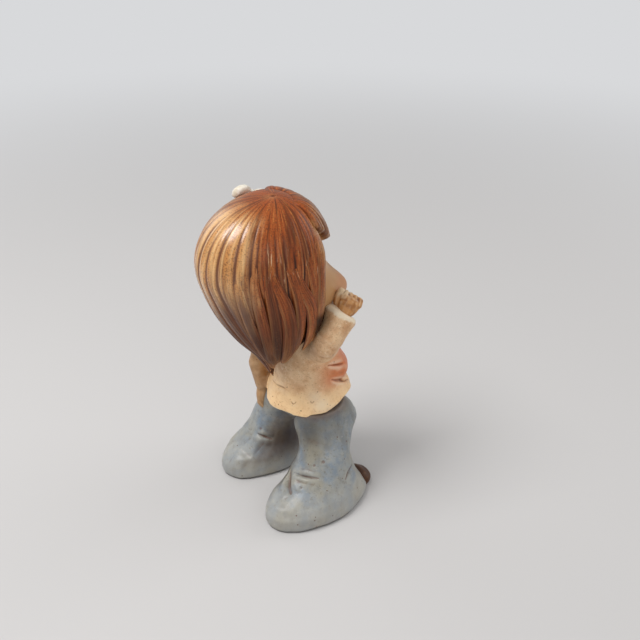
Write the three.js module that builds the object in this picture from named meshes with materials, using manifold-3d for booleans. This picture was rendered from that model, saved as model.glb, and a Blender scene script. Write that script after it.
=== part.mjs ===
// Ceramic girl figurine, built from its slip-cast pieces.
// Millimetres, +Z up, the figure looks along -Y and her left hand is on +X.
import * as THREE from 'three';
import { mergeVertices } from 'three/addons/utils/BufferGeometryUtils.js';
import Module from 'manifold-3d';

// Joinery
const slipGap = 0.3; // room for the slip that lutes two pieces together
const castWall = 4; // wall of a hollow casting
const ventWidth = 6; // hole in each sole, through which a hollow casting breathes
const pegDepth = 5; // how far a peg goes into its socket
const seamDraft = 1; // how much a casting narrows at its edge or towards its plug
const sharpestCorner = 0.5; // how sharp a corner may be before its clearance is trimmed
const facetTolerance = 0.1; // facets that lie this close to their neighbour are merged

// Trousers
const rightBellSpread = 27; // from the middle to the centre of the flared right leg
const leftBellSpread = 23.5;
const bellWidth = 37.5; // flared leg across, on the floor
const bellLength = 61; // flared leg from front to back, on the floor
const bellHeel = 3; // how much further the flared leg reaches at the back
const bellBack = 0; // centre of the flared leg, behind the origin
const kneeHeight = 33;
const kneeSpread = 21.5;
const kneeForward = 8.5;
const kneeWidth = 27;
const kneeDepth = 26.5;
const soleRound = 0.8; // rounding of the trouser hem on the floor
const thighHeight = 47;
const thighSpread = 14.6;
const thighWidth = 28.5;
const thighDepth = 34;
const leftStride = 5; // how far the left foot stands in front of the right one
const crotchHeight = 41;
const crotchRound = 4; // depth of the rounding under the hips
const bodyForward = 12; // axis of the trunk in front of the origin
const hipWidth = 39;
const hipDepth = 33;
const hipHeight = 52;

// Shoes
const shoeWidth = 17;
const shoeHeight = 9;
const shoeReach = 4.5; // toe in front of the trouser hem
const shoeTongue = 14; // hidden stub behind the trouser hem
const shoeCap = 3; // depth of the rounded toe cap

// Sweater
const hemHeight = 52; // lower edge of the hem at the back
const hemRise = 3; // how much higher the hem is at the front
const hemWidth = 47;
const hemForward = 25.5; // front of the hem from the trunk's axis
const hemBack = 20.5; // back of the hem from the trunk's axis
const hemThickness = 3;
const hemTop = 64;
const hemScallops = 5;
const hemScallopDepth = 1;
const waistWidth = 37;
const waistDepth = 33;
const bellyHeight = 73;
const bellyWidth = 41;
const bellyForward = 24; // belly in front of the trunk's axis
const chestHeight = 88;
const chestWidth = 35;
const chestDepth = 28;
const shoulderHeight = 97;
const neckWidth = 15;
const collarHeight = 5;
const collarThickness = 2.5;
const collarBack = 5; // middle of the neckline behind the axis of the trunk
const collarRoll = 1.5;

// Arms
const shoulderSpread = 15;
const sleeveWidth = 14;
const armholeDrop = 6; // middle of the armhole below the shoulder
const sleeveSag = 2; // how far the upper part of the bent sleeve hangs
const leftSleeveWidth = 9;
const rightElbow = { out: 27, forward: 5.2, height: shoulderHeight + 3.8 };
const rightWrist = { out: 27.4, forward: 13.9, height: shoulderHeight + 14.7 };
const leftElbow = { out: 22.5, forward: -3.5, height: 71 };
const leftWrist = { out: 22, forward: -0.5, height: thighHeight + 5 };
const cuffWidth = 15.6;
const leftCuffWidth = 10;
const cuffLength = 6;
const wristWidth = 7;
const palmWidth = 11;
const palmLength = 7.5;
const palmThickness = 7;
const fingerWidth = 4;
const thumbLength = 6;
const fingerCurl = 4; // how far the fingertips curl in front of the palm

// Head
const chinRise = 10; // chin above the shoulders
const cheekRise = 14; // cheeks above the chin
const cheekWidth = 48;
const cheekForward = 30.3;
const eyeRise = 30; // eyes above the chin
const eyeSpread = 9;
const browRise = 39; // brow above the chin
const browWidth = 48;
const browForward = 15.5;
const skullRise = 22.5; // top of the skull above the brow
const cheekPush = 4.5; // how far each round cheek stands out
const skullBack = 28;
const jawBack = 23; // back of the jaw from its middle
const socketDepth = 1.2;
const noseReach = 3;
const noseRise = 22; // nose above the chin

// Hair
const hairThickness = 4.5; // over the crown
const hairFullness = 0.81; // 1 for a round crown, less for a fuller one
const hairWidth = 57;
const hairCentre = 6; // behind the origin
const hairForward = 15;
const hairBack = 46.8;
const hairWidestDrop = 3; // widest level of the hair below the brow
const hairTipHeight = 72;
const hairSideRise = 7; // lower edge of the side hair above the shoulders
const hairTempleRise = 10; // the same next to the face
const faceLine = 0.34; // where the side hair ends next to the face, as a share of the way forward
const fringeRise = 14; // edge of the hair under the fringe, above the brow
const fluteCount = 20;
const fluteDepth = 0.8;
const lockWidth = 13;
const lockThickness = 5;
const lockSweep = 12; // degrees by which a side lock sweeps forward on its way down
const lockGap = 0.6; // room under a lock, over the flutes of the hair
const fringeParting = 8; // from the middle of the crown to the start of the fringe
// Share of a lock's thickness by which its middle lies below the hair, at its start and end
const fringeSinks = [0.35, -0.36];
const sideLockSinks = [0.1, -0.2];

// Bow
const bowTurn = -12; // degrees from her left side towards the back
const bowLean = 47; // degrees down from the crown
const bowTilt = 30; // degrees by which the bow's front loop hangs lower than its back one
const bowLoopLength = 10;
const bowLoopWidth = 9;
const bowLoopThickness = 5.5;
const bowKnotWidth = 5;

const wasm = await Module();
wasm.setup();

const place = (x, y, z) => new THREE.Vector3(x, y, z);
const UP = place(0, 0, 1);
const FRONT = place(0, -1, 0);
const mix = THREE.MathUtils.lerp;
const ease = THREE.MathUtils.smoothstep;
const radians = THREE.MathUtils.degToRad;

// Rings and lofts

// One ring of a loft: its centre, and its half width, front depth and back depth.
function ring(centre, wide, front, back = front) {
  return { centre, size: place(wide, front, back) };
}

// A closed solid through key rings. Each end is flat, or a dome of the given height.
// With along, the rings stand square to the path, and otherwise they lie level.
function loft(rings, options = {}) {
  const { sides = 24, steps = 12, domes = [0, 0], along = false, facing = FRONT, shape } = options;
  const path = new THREE.CatmullRomCurve3(rings.map((r) => r.centre), false, 'centripetal');
  const sizes = new THREE.CatmullRomCurve3(rings.map((r) => r.size), false, 'catmullrom');
  const rows = [];
  const domeSteps = sides > 16 ? 3 : 2;
  const addRow = (t, shrink, offset) => {
    const normal = along ? path.getTangent(t) : UP;
    const centre = path.getPoint(t).addScaledVector(normal, offset);
    rows.push({ t, centre, normal, size: sizes.getPoint(t).multiplyScalar(shrink) });
  };
  for (let k = domeSteps; k > 0 && domes[0] > 0; k -= 1) {
    const turn = (k / domeSteps) * (Math.PI / 2) * 0.999;
    addRow(0, Math.cos(turn), -domes[0] * Math.sin(turn));
  }
  for (let i = 0; i <= steps; i += 1) {
    addRow(i / steps, 1, 0);
  }
  for (let k = 1; k <= domeSteps && domes[1] > 0; k += 1) {
    const turn = (k / domeSteps) * (Math.PI / 2) * 0.999;
    addRow(1, Math.cos(turn), domes[1] * Math.sin(turn));
  }
  const start = domes[0] > 0 ? rows.shift().centre : rows[0].centre;
  const end = domes[1] > 0 ? rows.pop().centre : rows[rows.length - 1].centre;
  const grid = rows.map((row) => ringPoints(row, sides, facing, shape));
  return closedGrid(grid, start, end);
}

function ringPoints({ t, centre, normal, size }, sides, facing, shape) {
  const front = facing.clone().addScaledVector(normal, -facing.dot(normal)).normalize();
  const across = front.clone().cross(normal);
  const points = [];
  for (let k = 0; k < sides; k += 1) {
    const angle = (k / sides) * Math.PI * 2;
    const depth = Math.sin(angle) > 0 ? size.y : size.z;
    const point = centre.clone();
    point.addScaledVector(across, size.x * Math.cos(angle));
    point.addScaledVector(front, depth * Math.sin(angle));
    points.push(shape ? shape(point, angle, t) : point);
  }
  return points;
}

// Faces over a grid of rings with one point closing each end, turned to point out.
function closedGrid(grid, start, end) {
  const sides = grid[0].length;
  const points = [start, ...grid.flat(), end];
  const last = points.length - 1;
  const index = [];
  for (let k = 0; k < sides; k += 1) {
    const next = (k + 1) % sides;
    index.push(0, 1 + next, 1 + k);
    for (let row = 0; row < grid.length - 1; row += 1) {
      const a = 1 + row * sides + k;
      const b = 1 + row * sides + next;
      index.push(a, b, a + sides, b, b + sides, a + sides);
    }
    const top = 1 + (grid.length - 1) * sides;
    index.push(last, top + k, top + next);
  }
  const geometry = new THREE.BufferGeometry().setFromPoints(points);
  geometry.setIndex(volumeOf(points, index) < 0 ? index.reverse() : index);
  return geometry;
}

function volumeOf(points, index) {
  let volume = 0;
  const normal = place(0, 0, 0);
  for (let i = 0; i < index.length; i += 3) {
    normal.crossVectors(points[index[i + 1]], points[index[i + 2]]);
    volume += points[index[i]].dot(normal) / 6;
  }
  return volume;
}

// A limb, lock or finger: a rounded loft along a path of points and half widths.
function limb(stops, { flatness = 1, ...options } = {}) {
  const rings = stops.map(([centre, half]) => ring(centre, half, half * flatness));
  const domes = [stops[0][1] * 0.6, stops[stops.length - 1][1] * 0.6];
  return loft(rings, { sides: 12, steps: 8, domes, along: true, ...options });
}

function peg(from, to, width, facing = FRONT) {
  const rings = [ring(from, width / 2, width / 2), ring(to, width / 2, width / 2)];
  return loft(rings, { sides: 12, steps: 1, along: true, facing });
}

// Joining and cutting

// The same surface moved outwards everywhere by a distance, or inwards if it is negative.
// A corner moves further than its faces do, so that each face keeps the distance.
function grown(geometry, distance = slipGap) {
  const copy = geometry.clone();
  copy.computeVertexNormals();
  const position = copy.attributes.position;
  const normal = copy.attributes.normal;
  const index = copy.index.array;
  const corner = new Float32Array(position.count).fill(1);
  const at = (attribute, i) => place(0, 0, 0).fromBufferAttribute(attribute, i);
  for (let i = 0; i < index.length; i += 3) {
    const face = [index[i], index[i + 1], index[i + 2]];
    const [a, b, c] = face.map((k) => at(position, k));
    const out = b.sub(a).cross(c.sub(a)).normalize();
    for (const k of face) {
      corner[k] = Math.min(corner[k], at(normal, k).dot(out));
    }
  }
  for (let i = 0; i < position.count; i += 1) {
    const reach = distance / Math.max(corner[i], sharpestCorner);
    const moved = at(position, i).addScaledVector(at(normal, i), reach);
    position.setXYZ(i, moved.x, moved.y, moved.z);
  }
  return copy;
}

function solid(geometry) {
  let bare = geometry.clone();
  bare.deleteAttribute('normal');
  bare.deleteAttribute('uv');
  bare = mergeVertices(bare);
  return new wasm.Manifold(new wasm.Mesh({
    numProp: 3,
    vertProperties: new Float32Array(bare.attributes.position.array),
    triVerts: new Uint32Array(bare.index.array),
  }));
}

// A block joined from some forms, less the room that its neighbours take.
function block(forms, neighbours = []) {
  let body = solid(forms[0]);
  for (const form of forms.slice(1)) {
    body = body.add(solid(form));
  }
  for (const neighbour of neighbours) {
    body = body.subtract(solid(neighbour));
  }
  return body;
}

// The largest body of a cut solid, without the crumbs of the cut.
function mainBody(body) {
  const bodies = body.simplify(facetTolerance).decompose();
  return bodies.reduce((best, one) => (one.volume() > best.volume() ? one : best));
}

const figure = new THREE.Group();

function add(name, body, paint) {
  const { vertProperties, triVerts, numProp } = mainBody(body).getMesh();
  const position = new Float32Array((vertProperties.length / numProp) * 3);
  for (let i = 0; i < position.length / 3; i += 1) {
    position.set(vertProperties.subarray(i * numProp, i * numProp + 3), i * 3);
  }
  const geometry = new THREE.BufferGeometry();
  geometry.setAttribute('position', new THREE.BufferAttribute(position, 3));
  geometry.setIndex(new THREE.BufferAttribute(new Uint32Array(triVerts), 1));
  geometry.computeVertexNormals();
  const mesh = new THREE.Mesh(geometry, paint());
  mesh.name = name;
  figure.add(mesh);
}

// Fired and painted finishes

const finish = (color, roughness) => () => (
  new THREE.MeshStandardMaterial({ color, roughness, metalness: 0 })
);
const hairPaint = finish(0x9c5f30, 0.42);
const skinPaint = finish(0xb98a62, 0.5);
const sweaterPaint = finish(0xd8bd94, 0.55);
const denimPaint = finish(0x8d969b, 0.55);
const shoePaint = finish(0x4f3526, 0.45);
const bowPaint = finish(0xefe6d4, 0.2);

// Trousers

// A level ring round the axis of the trunk, which lies further back by the given shift.
function trunkRing(height, wide, front, back = front, shift = 0) {
  return ring(place(0, shift - bodyForward, height), wide, front, back);
}

function hipsForm() {
  const half = hipWidth / 2;
  const depth = hipDepth / 2;
  const plugHalf = waistWidth / 2 - castWall;
  const plugDepth = waistDepth / 2 - castWall;
  return loft([
    trunkRing(crotchHeight + crotchRound, half - 6, depth - crotchRound),
    trunkRing(mix(crotchHeight, hipHeight, 0.6), half - seamDraft, depth - seamDraft),
    trunkRing(hipHeight, half, depth),
    trunkRing(hemTop - slipGap, plugHalf, plugDepth),
    trunkRing(hemTop + pegDepth, plugHalf - seamDraft, plugDepth - seamDraft),
  ], { sides: 20, steps: 8, domes: [crotchRound, 0] });
}

// side is -1 for the right leg and 1 for the left one
function legFoot(side) {
  return side < 0
    ? place(-rightBellSpread, bellBack, 0)
    : place(leftBellSpread, bellBack - leftStride, 0);
}

function legForm(side, detail = { sides: 24, steps: 11 }) {
  const foot = legFoot(side);
  const knee = place(side * kneeSpread, -kneeForward, kneeHeight);
  const ankle = place(mix(foot.x, knee.x, 0.45), mix(foot.y, knee.y, 0.5), kneeHeight * 0.6);
  const onFloor = (share) => place(foot.x, foot.y, kneeHeight * share);
  const inThigh = (raise, inwards) => (
    place(side * (thighSpread - inwards), -bodyForward, thighHeight + raise)
  );
  // A section between the knee, where all shares are 0, and the hem of the leg.
  const flared = (centre, wide, front = wide, back = front) => ring(
    centre,
    mix(kneeWidth, bellWidth, wide) / 2,
    mix(kneeDepth, bellLength, front) / 2,
    mix(kneeDepth / 2, bellLength / 2 + bellHeel, back),
  );
  const toe = bellLength / 2 - soleRound;
  return loft([
    ring(foot, bellWidth / 2 - soleRound, toe, toe + bellHeel),
    flared(onFloor(0.12), 1),
    flared(onFloor(0.32), 0.82, 0.72, 0.9),
    flared(ankle, 0.25),
    flared(knee, 0),
    ring(inThigh(-4, 0), thighWidth / 2, thighDepth / 2 + 5.5, thighDepth / 2 - 1.5),
    ring(inThigh(6, 2), thighWidth / 2 - 3, thighDepth / 2 - 3),
  ], detail);
}

function legPeg(side) {
  const down = 0.6;
  const top = place(side * thighSpread, -bodyForward, hipHeight);
  const bottom = place(
    side * mix(thighSpread, kneeSpread, down),
    -mix(bodyForward, kneeForward, down),
    mix(thighHeight, kneeHeight, down),
  );
  return peg(top, bottom, kneeWidth / 2 - castWall);
}

function legVent(side) {
  const foot = legFoot(side);
  return peg(place(foot.x, foot.y, -castWall), place(foot.x, foot.y, castWall * 2), ventWidth);
}

function shoeForm(side) {
  const foot = legFoot(side);
  const hemFront = foot.y - bellLength / 2;
  const half = shoeWidth / 2;
  const low = shoeHeight * 0.35;
  const top = shoeHeight - low;
  const under = low + 1.5;
  const onFoot = (y) => place(foot.x, y, low);
  const flatSole = (point) => point.setZ(Math.max(point.z, 0));
  return loft([
    ring(onFoot(hemFront + shoeTongue), half - 2, top - 2, under),
    ring(onFoot(hemFront + 2), half, top, under),
    ring(onFoot(hemFront - shoeReach + shoeCap), half - 1.5, top - 2, under),
  ], { sides: 14, steps: 5, domes: [0, shoeCap], along: true, facing: UP, shape: flatSole });
}

// Sweater

function trunkForm() {
  const belly = bellyWidth / 2;
  const chest = chestWidth / 2;
  const neck = neckWidth / 2;
  const back = waistDepth / 2;
  return loft([
    trunkRing(hemTop - 3, waistWidth / 2 - seamDraft, back - seamDraft),
    trunkRing(mix(hemTop, bellyHeight, 0.4), mix(waistWidth / 2, belly, 0.7), bellyForward - 0.5, back),
    trunkRing(bellyHeight, belly, bellyForward, back),
    trunkRing(chestHeight, chest, chestDepth / 2, chestDepth / 2, 2),
    trunkRing(shoulderHeight, chest - 4, chestDepth / 2 - 3, chestDepth / 2 - 3, collarBack),
    trunkRing(shoulderHeight + 4, neck + 1, neck + 1, neck + 1, collarBack + 1),
  ], { sides: 22, steps: 10 });
}

function trunkHollow() {
  const waist = [waistWidth / 2 - castWall, waistDepth / 2 - castWall];
  const chest = [chestWidth / 2 - castWall, chestDepth / 2 - castWall];
  const inside = castWall + 1;
  const belly = [bellyWidth / 2 - inside, bellyForward - inside, waistDepth / 2 - inside];
  return loft([
    trunkRing(hemTop - pegDepth, ...waist),
    trunkRing(hemTop + pegDepth, ...waist),
    trunkRing(bellyHeight + 3, ...belly),
    trunkRing(chestHeight, ...chest, chest[1], 3),
  ], { sides: 16, steps: 5, domes: [0, 3] });
}

function hemForm(inset) {
  const wave = (point, angle, t) => {
    const low = 1 - t;
    const scallop = Math.abs(Math.sin((angle * hemScallops) / 2));
    const axis = place(0, -bodyForward, point.z);
    const out = point.clone().sub(axis);
    out.multiplyScalar(1 + (low * low * hemScallopDepth * (scallop - 0.5)) / out.length());
    out.z += low * (hemRise * (0.5 - out.y / hemWidth) - hemScallopDepth * scallop);
    return axis.add(out);
  };
  const flare = (height, drawn) => (
    trunkRing(height, hemWidth / 2 - drawn, hemForward - drawn, hemBack - drawn)
  );
  const lap = 1 - inset; // how far the top of the hem laps over the waist
  return loft([
    flare(hemHeight, inset),
    flare(mix(hemHeight, hemTop, 0.4), inset + 1),
    trunkRing(hemTop, waistWidth / 2 + lap, bellyForward - 4 + lap, waistDepth / 2 + lap),
  ], { sides: 25, steps: 3, shape: wave });
}

function collarForm() {
  const half = neckWidth / 2 + collarThickness;
  return loft([
    trunkRing(shoulderHeight, half + 1, half + 1, half + 1, collarBack),
    trunkRing(shoulderHeight + collarHeight, half, half, half, collarBack + 1),
  ], { sides: 16, steps: 1, domes: [0, collarRoll] });
}

// Arms

const spot = ({ out, forward, height }, side) => place(side * out, -forward, height);

function armStops(side) {
  const elbow = spot(side < 0 ? rightElbow : leftElbow, side);
  const wrist = spot(side < 0 ? rightWrist : leftWrist, side);
  const shoulder = place(side * shoulderSpread, 4 - bodyForward, shoulderHeight - armholeDrop);
  const reach = wrist.clone().sub(elbow).normalize();
  const beyond = (distance) => wrist.clone().addScaledVector(reach, distance);
  const facing = place(side, -0.4, 0.3);
  return { shoulder, elbow, wrist, reach, beyond, facing };
}

function sleeveForm(side) {
  const { shoulder, elbow, wrist, facing } = armStops(side);
  const top = sleeveWidth / 2;
  const half = (side < 0 ? sleeveWidth : leftSleeveWidth) / 2;
  const sag = side < 0 ? sleeveSag : 0;
  const upper = shoulder.clone().lerp(elbow, 0.5).sub(place(0, 0, sag));
  return limb([
    [shoulder, top - 0.5],
    [upper, mix(top, half, 0.4)],
    [elbow, half],
    [elbow.clone().lerp(wrist, 0.55), half + 0.1],
    [elbow.clone().lerp(wrist, 0.9), half + 0.3],
  ], { sides: 16, steps: 9, facing });
}

function cuffForm(side) {
  const { wrist, beyond, facing } = armStops(side);
  const half = (side < 0 ? cuffWidth : leftCuffWidth) / 2;
  const rim = cuffLength / 2 - 1;
  return limb([
    [beyond(-rim), half - 0.6],
    [wrist, half],
    [beyond(rim), half - 0.4],
  ], { sides: 16, steps: 3, facing, domes: [1.5, 1.5] });
}

function wristPeg(side) {
  const { beyond, facing } = armStops(side);
  return peg(beyond(-pegDepth), beyond(cuffLength), wristWidth, facing);
}

// A hand along its reach, with its back towards out: palm, thumb and curled fingers.
function handForms(side, palmOut) {
  const { reach, beyond } = armStops(side);
  const out = palmOut.clone().addScaledVector(reach, -palmOut.dot(reach)).normalize();
  const across = reach.clone().cross(out);
  const onHand = (along, sideways, outward) => beyond(cuffLength / 2 + palmLength * along)
    .addScaledVector(across, sideways)
    .addScaledVector(out, outward);
  const palm = loft([
    ring(onHand(-0.18, 0, 0), wristWidth / 2, wristWidth / 2),
    ring(onHand(0.5, 0, 0), palmWidth / 2, palmThickness / 2),
    ring(onHand(0.9, 0, 0), palmWidth / 2 - 0.5, palmThickness / 2 - 0.5),
  ], { sides: 12, steps: 4, domes: [0, 2], along: true, facing: out });
  const half = fingerWidth / 2;
  const fingers = [-1.5, -0.5, 0.5, 1.5].map((step) => {
    const knuckle = step * (palmWidth / 4);
    return limb([
      [onHand(0.8, knuckle, 0.5), half],
      [onHand(1.15, knuckle, -fingerCurl * 0.3), half],
      [onHand(1.1, knuckle * 0.9, -fingerCurl), half - 0.3],
    ], { sides: 6, steps: 2, facing: across });
  });
  const edge = side * (palmWidth / 2);
  const thumbTip = 0.4 + thumbLength / palmLength;
  const thumb = limb([
    [onHand(0.2, edge * 0.7, -1), half + 0.2],
    [onHand(0.5, edge * 1.1, -1.5), half],
    [onHand(thumbTip, edge * 1.2, -1), half - 0.3],
  ], { sides: 7, steps: 3, facing: out });
  return [palm, ...fingers, thumb];
}

// Head

const chinHeight = shoulderHeight + chinRise;
const cheekHeight = chinHeight + cheekRise;
const noseHeight = chinHeight + noseRise;
const eyeHeight = chinHeight + eyeRise;
const browHeight = chinHeight + browRise;
const headTop = browHeight + skullRise;
const overBrow = (share) => mix(browHeight, headTop, share);

function headForm() {
  const features = (point) => {
    if (point.y > 0) {
      return point;
    }
    const near = (x, z, spread) => (
      Math.exp(-((point.x - x) ** 2 + (point.z - z) ** 2) / spread ** 2)
    );
    const pair = (x, z, spread) => near(-x, z, spread) + near(x, z, spread);
    point.y += socketDepth * pair(eyeSpread, eyeHeight, 5);
    point.y -= noseReach * near(0, noseHeight, 3);
    point.y -= near(0, mix(noseHeight, chinHeight, 0.4), 4);
    point.y -= cheekPush * pair(cheekWidth * 0.3, cheekHeight - 2, 10);
    return point;
  };
  const cheek = cheekWidth / 2;
  const brow = browWidth / 2;
  const wide = (share) => mix(cheek, brow, share);
  const deep = (share) => mix(cheekForward, browForward, share);
  return loft([
    ring(place(0, -8, chinHeight + 3), cheek * 0.52, cheekForward - 16, jawBack * 0.6),
    ring(place(0, -5, mix(chinHeight, cheekHeight, 0.55)), cheek * 0.84, cheekForward - 7, jawBack - 3),
    ring(place(0, -2, cheekHeight), cheek, cheekForward - 3, jawBack),
    ring(place(0, 0, noseHeight), wide(0.4), deep(0.35), skullBack - 1),
    ring(place(0, 2, eyeHeight), wide(0.7), deep(0.75) + 2, skullBack),
    ring(place(0, 3, browHeight), brow, browForward + 3, skullBack),
    ring(place(0, 4, overBrow(0.55)), brow * 0.85, browForward + 0.5, skullBack * 0.86),
    ring(place(0, 5, overBrow(0.9)), brow * 0.47, browForward * 0.55, skullBack * 0.47),
  ], { sides: 28, steps: 13, domes: [3, headTop - overBrow(0.9)], shape: features });
}

function headHollow() {
  const wall = castWall + 1;
  const brow = browHeight + wall;
  const middle = (cheekHeight + browHeight) / 2;
  const back = skullBack - wall;
  const cheek = cheekWidth / 2 - wall;
  return loft([
    ring(place(0, -1, cheekHeight - 2), cheek - 3, cheekForward - wall - 4, jawBack - wall - 3),
    ring(place(0, 1, middle), cheek, browForward - wall, back),
    ring(place(0, 2, brow), browWidth / 2 - wall - 1, browForward - wall - 2, back - 2),
  ], { sides: 16, steps: 4, domes: [wall, headTop - wall - brow] });
}

function neckForm() {
  const half = neckWidth / 2;
  return loft([
    trunkRing(chestHeight + 3, half - 1, half - 1, half - 1, collarBack),
    trunkRing(shoulderHeight + 3, half, half, half, collarBack + 1),
    trunkRing(chinHeight + 4, half, half, half, collarBack + 3),
    trunkRing(cheekHeight - 4, half - 0.5, half - 0.5, half - 0.5, collarBack + 4),
  ], { sides: 16, steps: 3 });
}

// Hair

const crownHeight = headTop + hairThickness;
const hairWidestHeight = browHeight - hairWidestDrop;
const fringeHeight = browHeight + fringeRise;
const hairSideHeight = shoulderHeight + hairSideRise;
const hairTempleHeight = shoulderHeight + hairTempleRise;
const capHeight = crownHeight - hairWidestHeight;
const capReach = (Math.PI / 2) * capHeight;

// How high the hair ends in each direction, where turn is 90 degrees at the back.
function hairEdge(turn) {
  const back = Math.sin(turn);
  if (back > 0) {
    return mix(hairSideHeight, hairTipHeight, 1 - (1 - back) ** 0.6);
  }
  const temple = mix(hairSideHeight, hairTempleHeight, Math.min(1, -back / faceLine));
  return mix(temple, fringeHeight, ease(-back, faceLine, faceLine + 0.14));
}

// How wide and how deep the falling hair still is, from its widest level to its tip.
const fallWidth = [1, 1, 0.96, 0.82, 0.5, 0.18, 0.08];
const fallBack = [1, 0.913, 0.762, 0.547, 0.296, 0.122, 0.068];
const fallFront = [1, 1, 1.2, 1.6, 0.9, 0.25, 0.07];
const fallLevels = [0, 0.2, 0.4, 0.6, 0.78, 0.95, 1];

function falling(list, level) {
  const held = Math.min(level, 1);
  const i = Math.max(1, fallLevels.findIndex((stop) => held <= stop));
  const share = (held - fallLevels[i - 1]) / (fallLevels[i] - fallLevels[i - 1]);
  return mix(list[i - 1], list[i], share);
}

// A point on the outside of the hair: turn goes round, reach goes down from the crown.
function onHair(turn, reach, raise = 0) {
  let height = hairWidestHeight;
  let wide = 1;
  let deep = 1;
  const back = Math.sin(turn);
  if (reach < capReach) {
    const slope = reach / capHeight;
    height += capHeight * Math.cos(slope);
    wide = Math.sin(slope) ** hairFullness;
    deep = wide;
  } else {
    height -= reach - capReach;
    const level = (hairWidestHeight - height) / (hairWidestHeight - hairTipHeight);
    wide = falling(fallWidth, level);
    deep = falling(back > 0 ? fallBack : fallFront, level);
  }
  const depth = back > 0 ? hairBack - hairCentre : hairForward + hairCentre;
  const x = (hairWidth / 2) * wide * Math.cos(turn);
  const y = depth * deep * back;
  const out = place(x, y, (height - hairWidestHeight) * 0.9).normalize();
  return place(x, hairCentre + y, height).addScaledVector(out, raise);
}

function hairForm(edgeAt = hairEdge) {
  const sides = fluteCount * 4;
  const rows = 10;
  const under = 2;
  const inner = place(0, 0, mix(cheekHeight, browHeight, 0.4));
  const grid = [];
  for (let row = 1; row <= rows + under; row += 1) {
    const points = [];
    for (let k = 0; k < sides; k += 1) {
      const turn = (k / sides) * Math.PI * 2;
      const edge = edgeAt(turn);
      const full = edge < hairWidestHeight
        ? capReach + hairWidestHeight - edge
        : capHeight * Math.acos((edge - hairWidestHeight) / capHeight);
      const share = Math.min(1, row / rows);
      const flute = k % 4 === 0 ? -fluteDepth : fluteDepth * 0.25;
      const point = onHair(turn, full * share, flute * ease(share, 0.05, 0.4));
      points.push(row > rows ? point.lerp(inner, (row - rows) / (under + 1)) : point);
    }
    grid.push(points);
  }
  return closedGrid(grid, place(0, hairCentre, crownHeight), inner);
}

// A lock that lies on the hair, from one direction and reach to another.
function lockForm(turns, reaches, sinks) {
  const stops = [0, 0.25, 0.5, 0.75, 1].map((share) => {
    const swell = Math.sin(Math.PI * mix(0.2, 0.8, share));
    const turn = radians(mix(turns[0], turns[1], share ** 1.3));
    const reach = mix(reaches[0], reaches[1], share);
    const raise = -lockThickness * mix(sinks[0], sinks[1], share);
    return [onHair(turn, reach, raise), (lockWidth / 2) * swell];
  });
  const middle = radians(mix(turns[0], turns[1], 0.5));
  const facing = place(Math.cos(middle), Math.sin(middle), 0.5);
  return limb(stops, { sides: 7, steps: 4, flatness: lockThickness / lockWidth, facing });
}

// Where each lock of the fringe starts at the crown and ends over the brow, in degrees
const fringeTurns = [[262, 218], [266, 238], [270, 262], [274, 296], [278, 322]];
const fringeReaches = [0.98, 1.33, 1.42, 1.33, 0.98].map((share) => capHeight * share);
const fringeForms = () => fringeTurns.map((turns, i) => (
  lockForm(turns, [fringeParting, fringeReaches[i]], fringeSinks)
));

function sideLockForms(side) {
  const middle = side < 0 ? 180 : 360;
  const reach = capReach + hairWidestHeight - hairTempleHeight;
  return [7, 17].map((turn, i) => (
    lockForm(
      [middle - side * (turn + lockSweep), middle - side * turn],
      [capHeight * 0.9, reach - 3 * i],
      sideLockSinks,
    )
  ));
}

// Bow

function bowFrame() {
  const turn = radians(bowTurn);
  const reach = capHeight * radians(bowLean);
  const seat = onHair(turn, reach);
  const out = onHair(turn, reach, 1).sub(seat).normalize();
  const round = onHair(turn + 0.02, reach).sub(seat).normalize();
  return { seat, out, round };
}

function bowLoop(way) {
  const { out } = bowFrame();
  const radius = (hairWidth / 2) * Math.sin(radians(bowLean));
  const tilt = radians(bowTilt);
  const stop = (along, raise) => onHair(
    radians(bowTurn) + (way * along * Math.cos(tilt)) / radius,
    capHeight * radians(bowLean) - way * along * Math.sin(tilt),
    bowLoopThickness / 2 + raise,
  );
  const half = bowLoopWidth / 2;
  const thick = bowLoopThickness / 2;
  return loft([
    ring(stop(1, -0.5), half * 0.35, thick * 0.5),
    ring(stop(bowLoopLength * 0.4, 0.3), half * 0.8, thick * 0.9),
    ring(stop(bowLoopLength * 0.75, 0.6), half, thick),
    ring(stop(bowLoopLength * 0.95, 0.3), half * 0.75, thick * 0.8),
  ], { sides: 12, steps: 5, domes: [0.5, 1.5], along: true, facing: out });
}

function bowKnot() {
  const { seat, out, round } = bowFrame();
  const half = bowKnotWidth / 2;
  const stop = (raise) => seat.clone().addScaledVector(out, raise);
  return loft([
    ring(stop(-hairThickness + 1), half * 0.5, half * 0.5),
    ring(stop(0), half * 0.55, half * 0.55),
    ring(stop(bowLoopThickness * 0.5), half, half),
  ], { sides: 12, steps: 5, domes: [0, half], along: true, facing: round });
}

// The pieces, each seated against the ones that carry it

const sides = { right: -1, left: 1 };
const handTurn = { right: place(-0.9, 0.5, 0.2), left: place(0.9, 0.3, 0) };
const both = (form) => ({ right: form(sides.right), left: form(sides.left) });
const room = (...forms) => forms.map((form) => grown(form));

const hips = hipsForm();
const trunk = trunkForm();
const hem = hemForm(0);
const neck = neckForm();
const head = headForm();
const hair = hairForm();
const collar = collarForm();
const knot = bowKnot();
const legs = both(legForm);
const shoes = both(shoeForm);
const sleeves = both(sleeveForm);
const cuffs = both(cuffForm);
const wrists = both(wristPeg);
const fringe = fringeForms();

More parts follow.
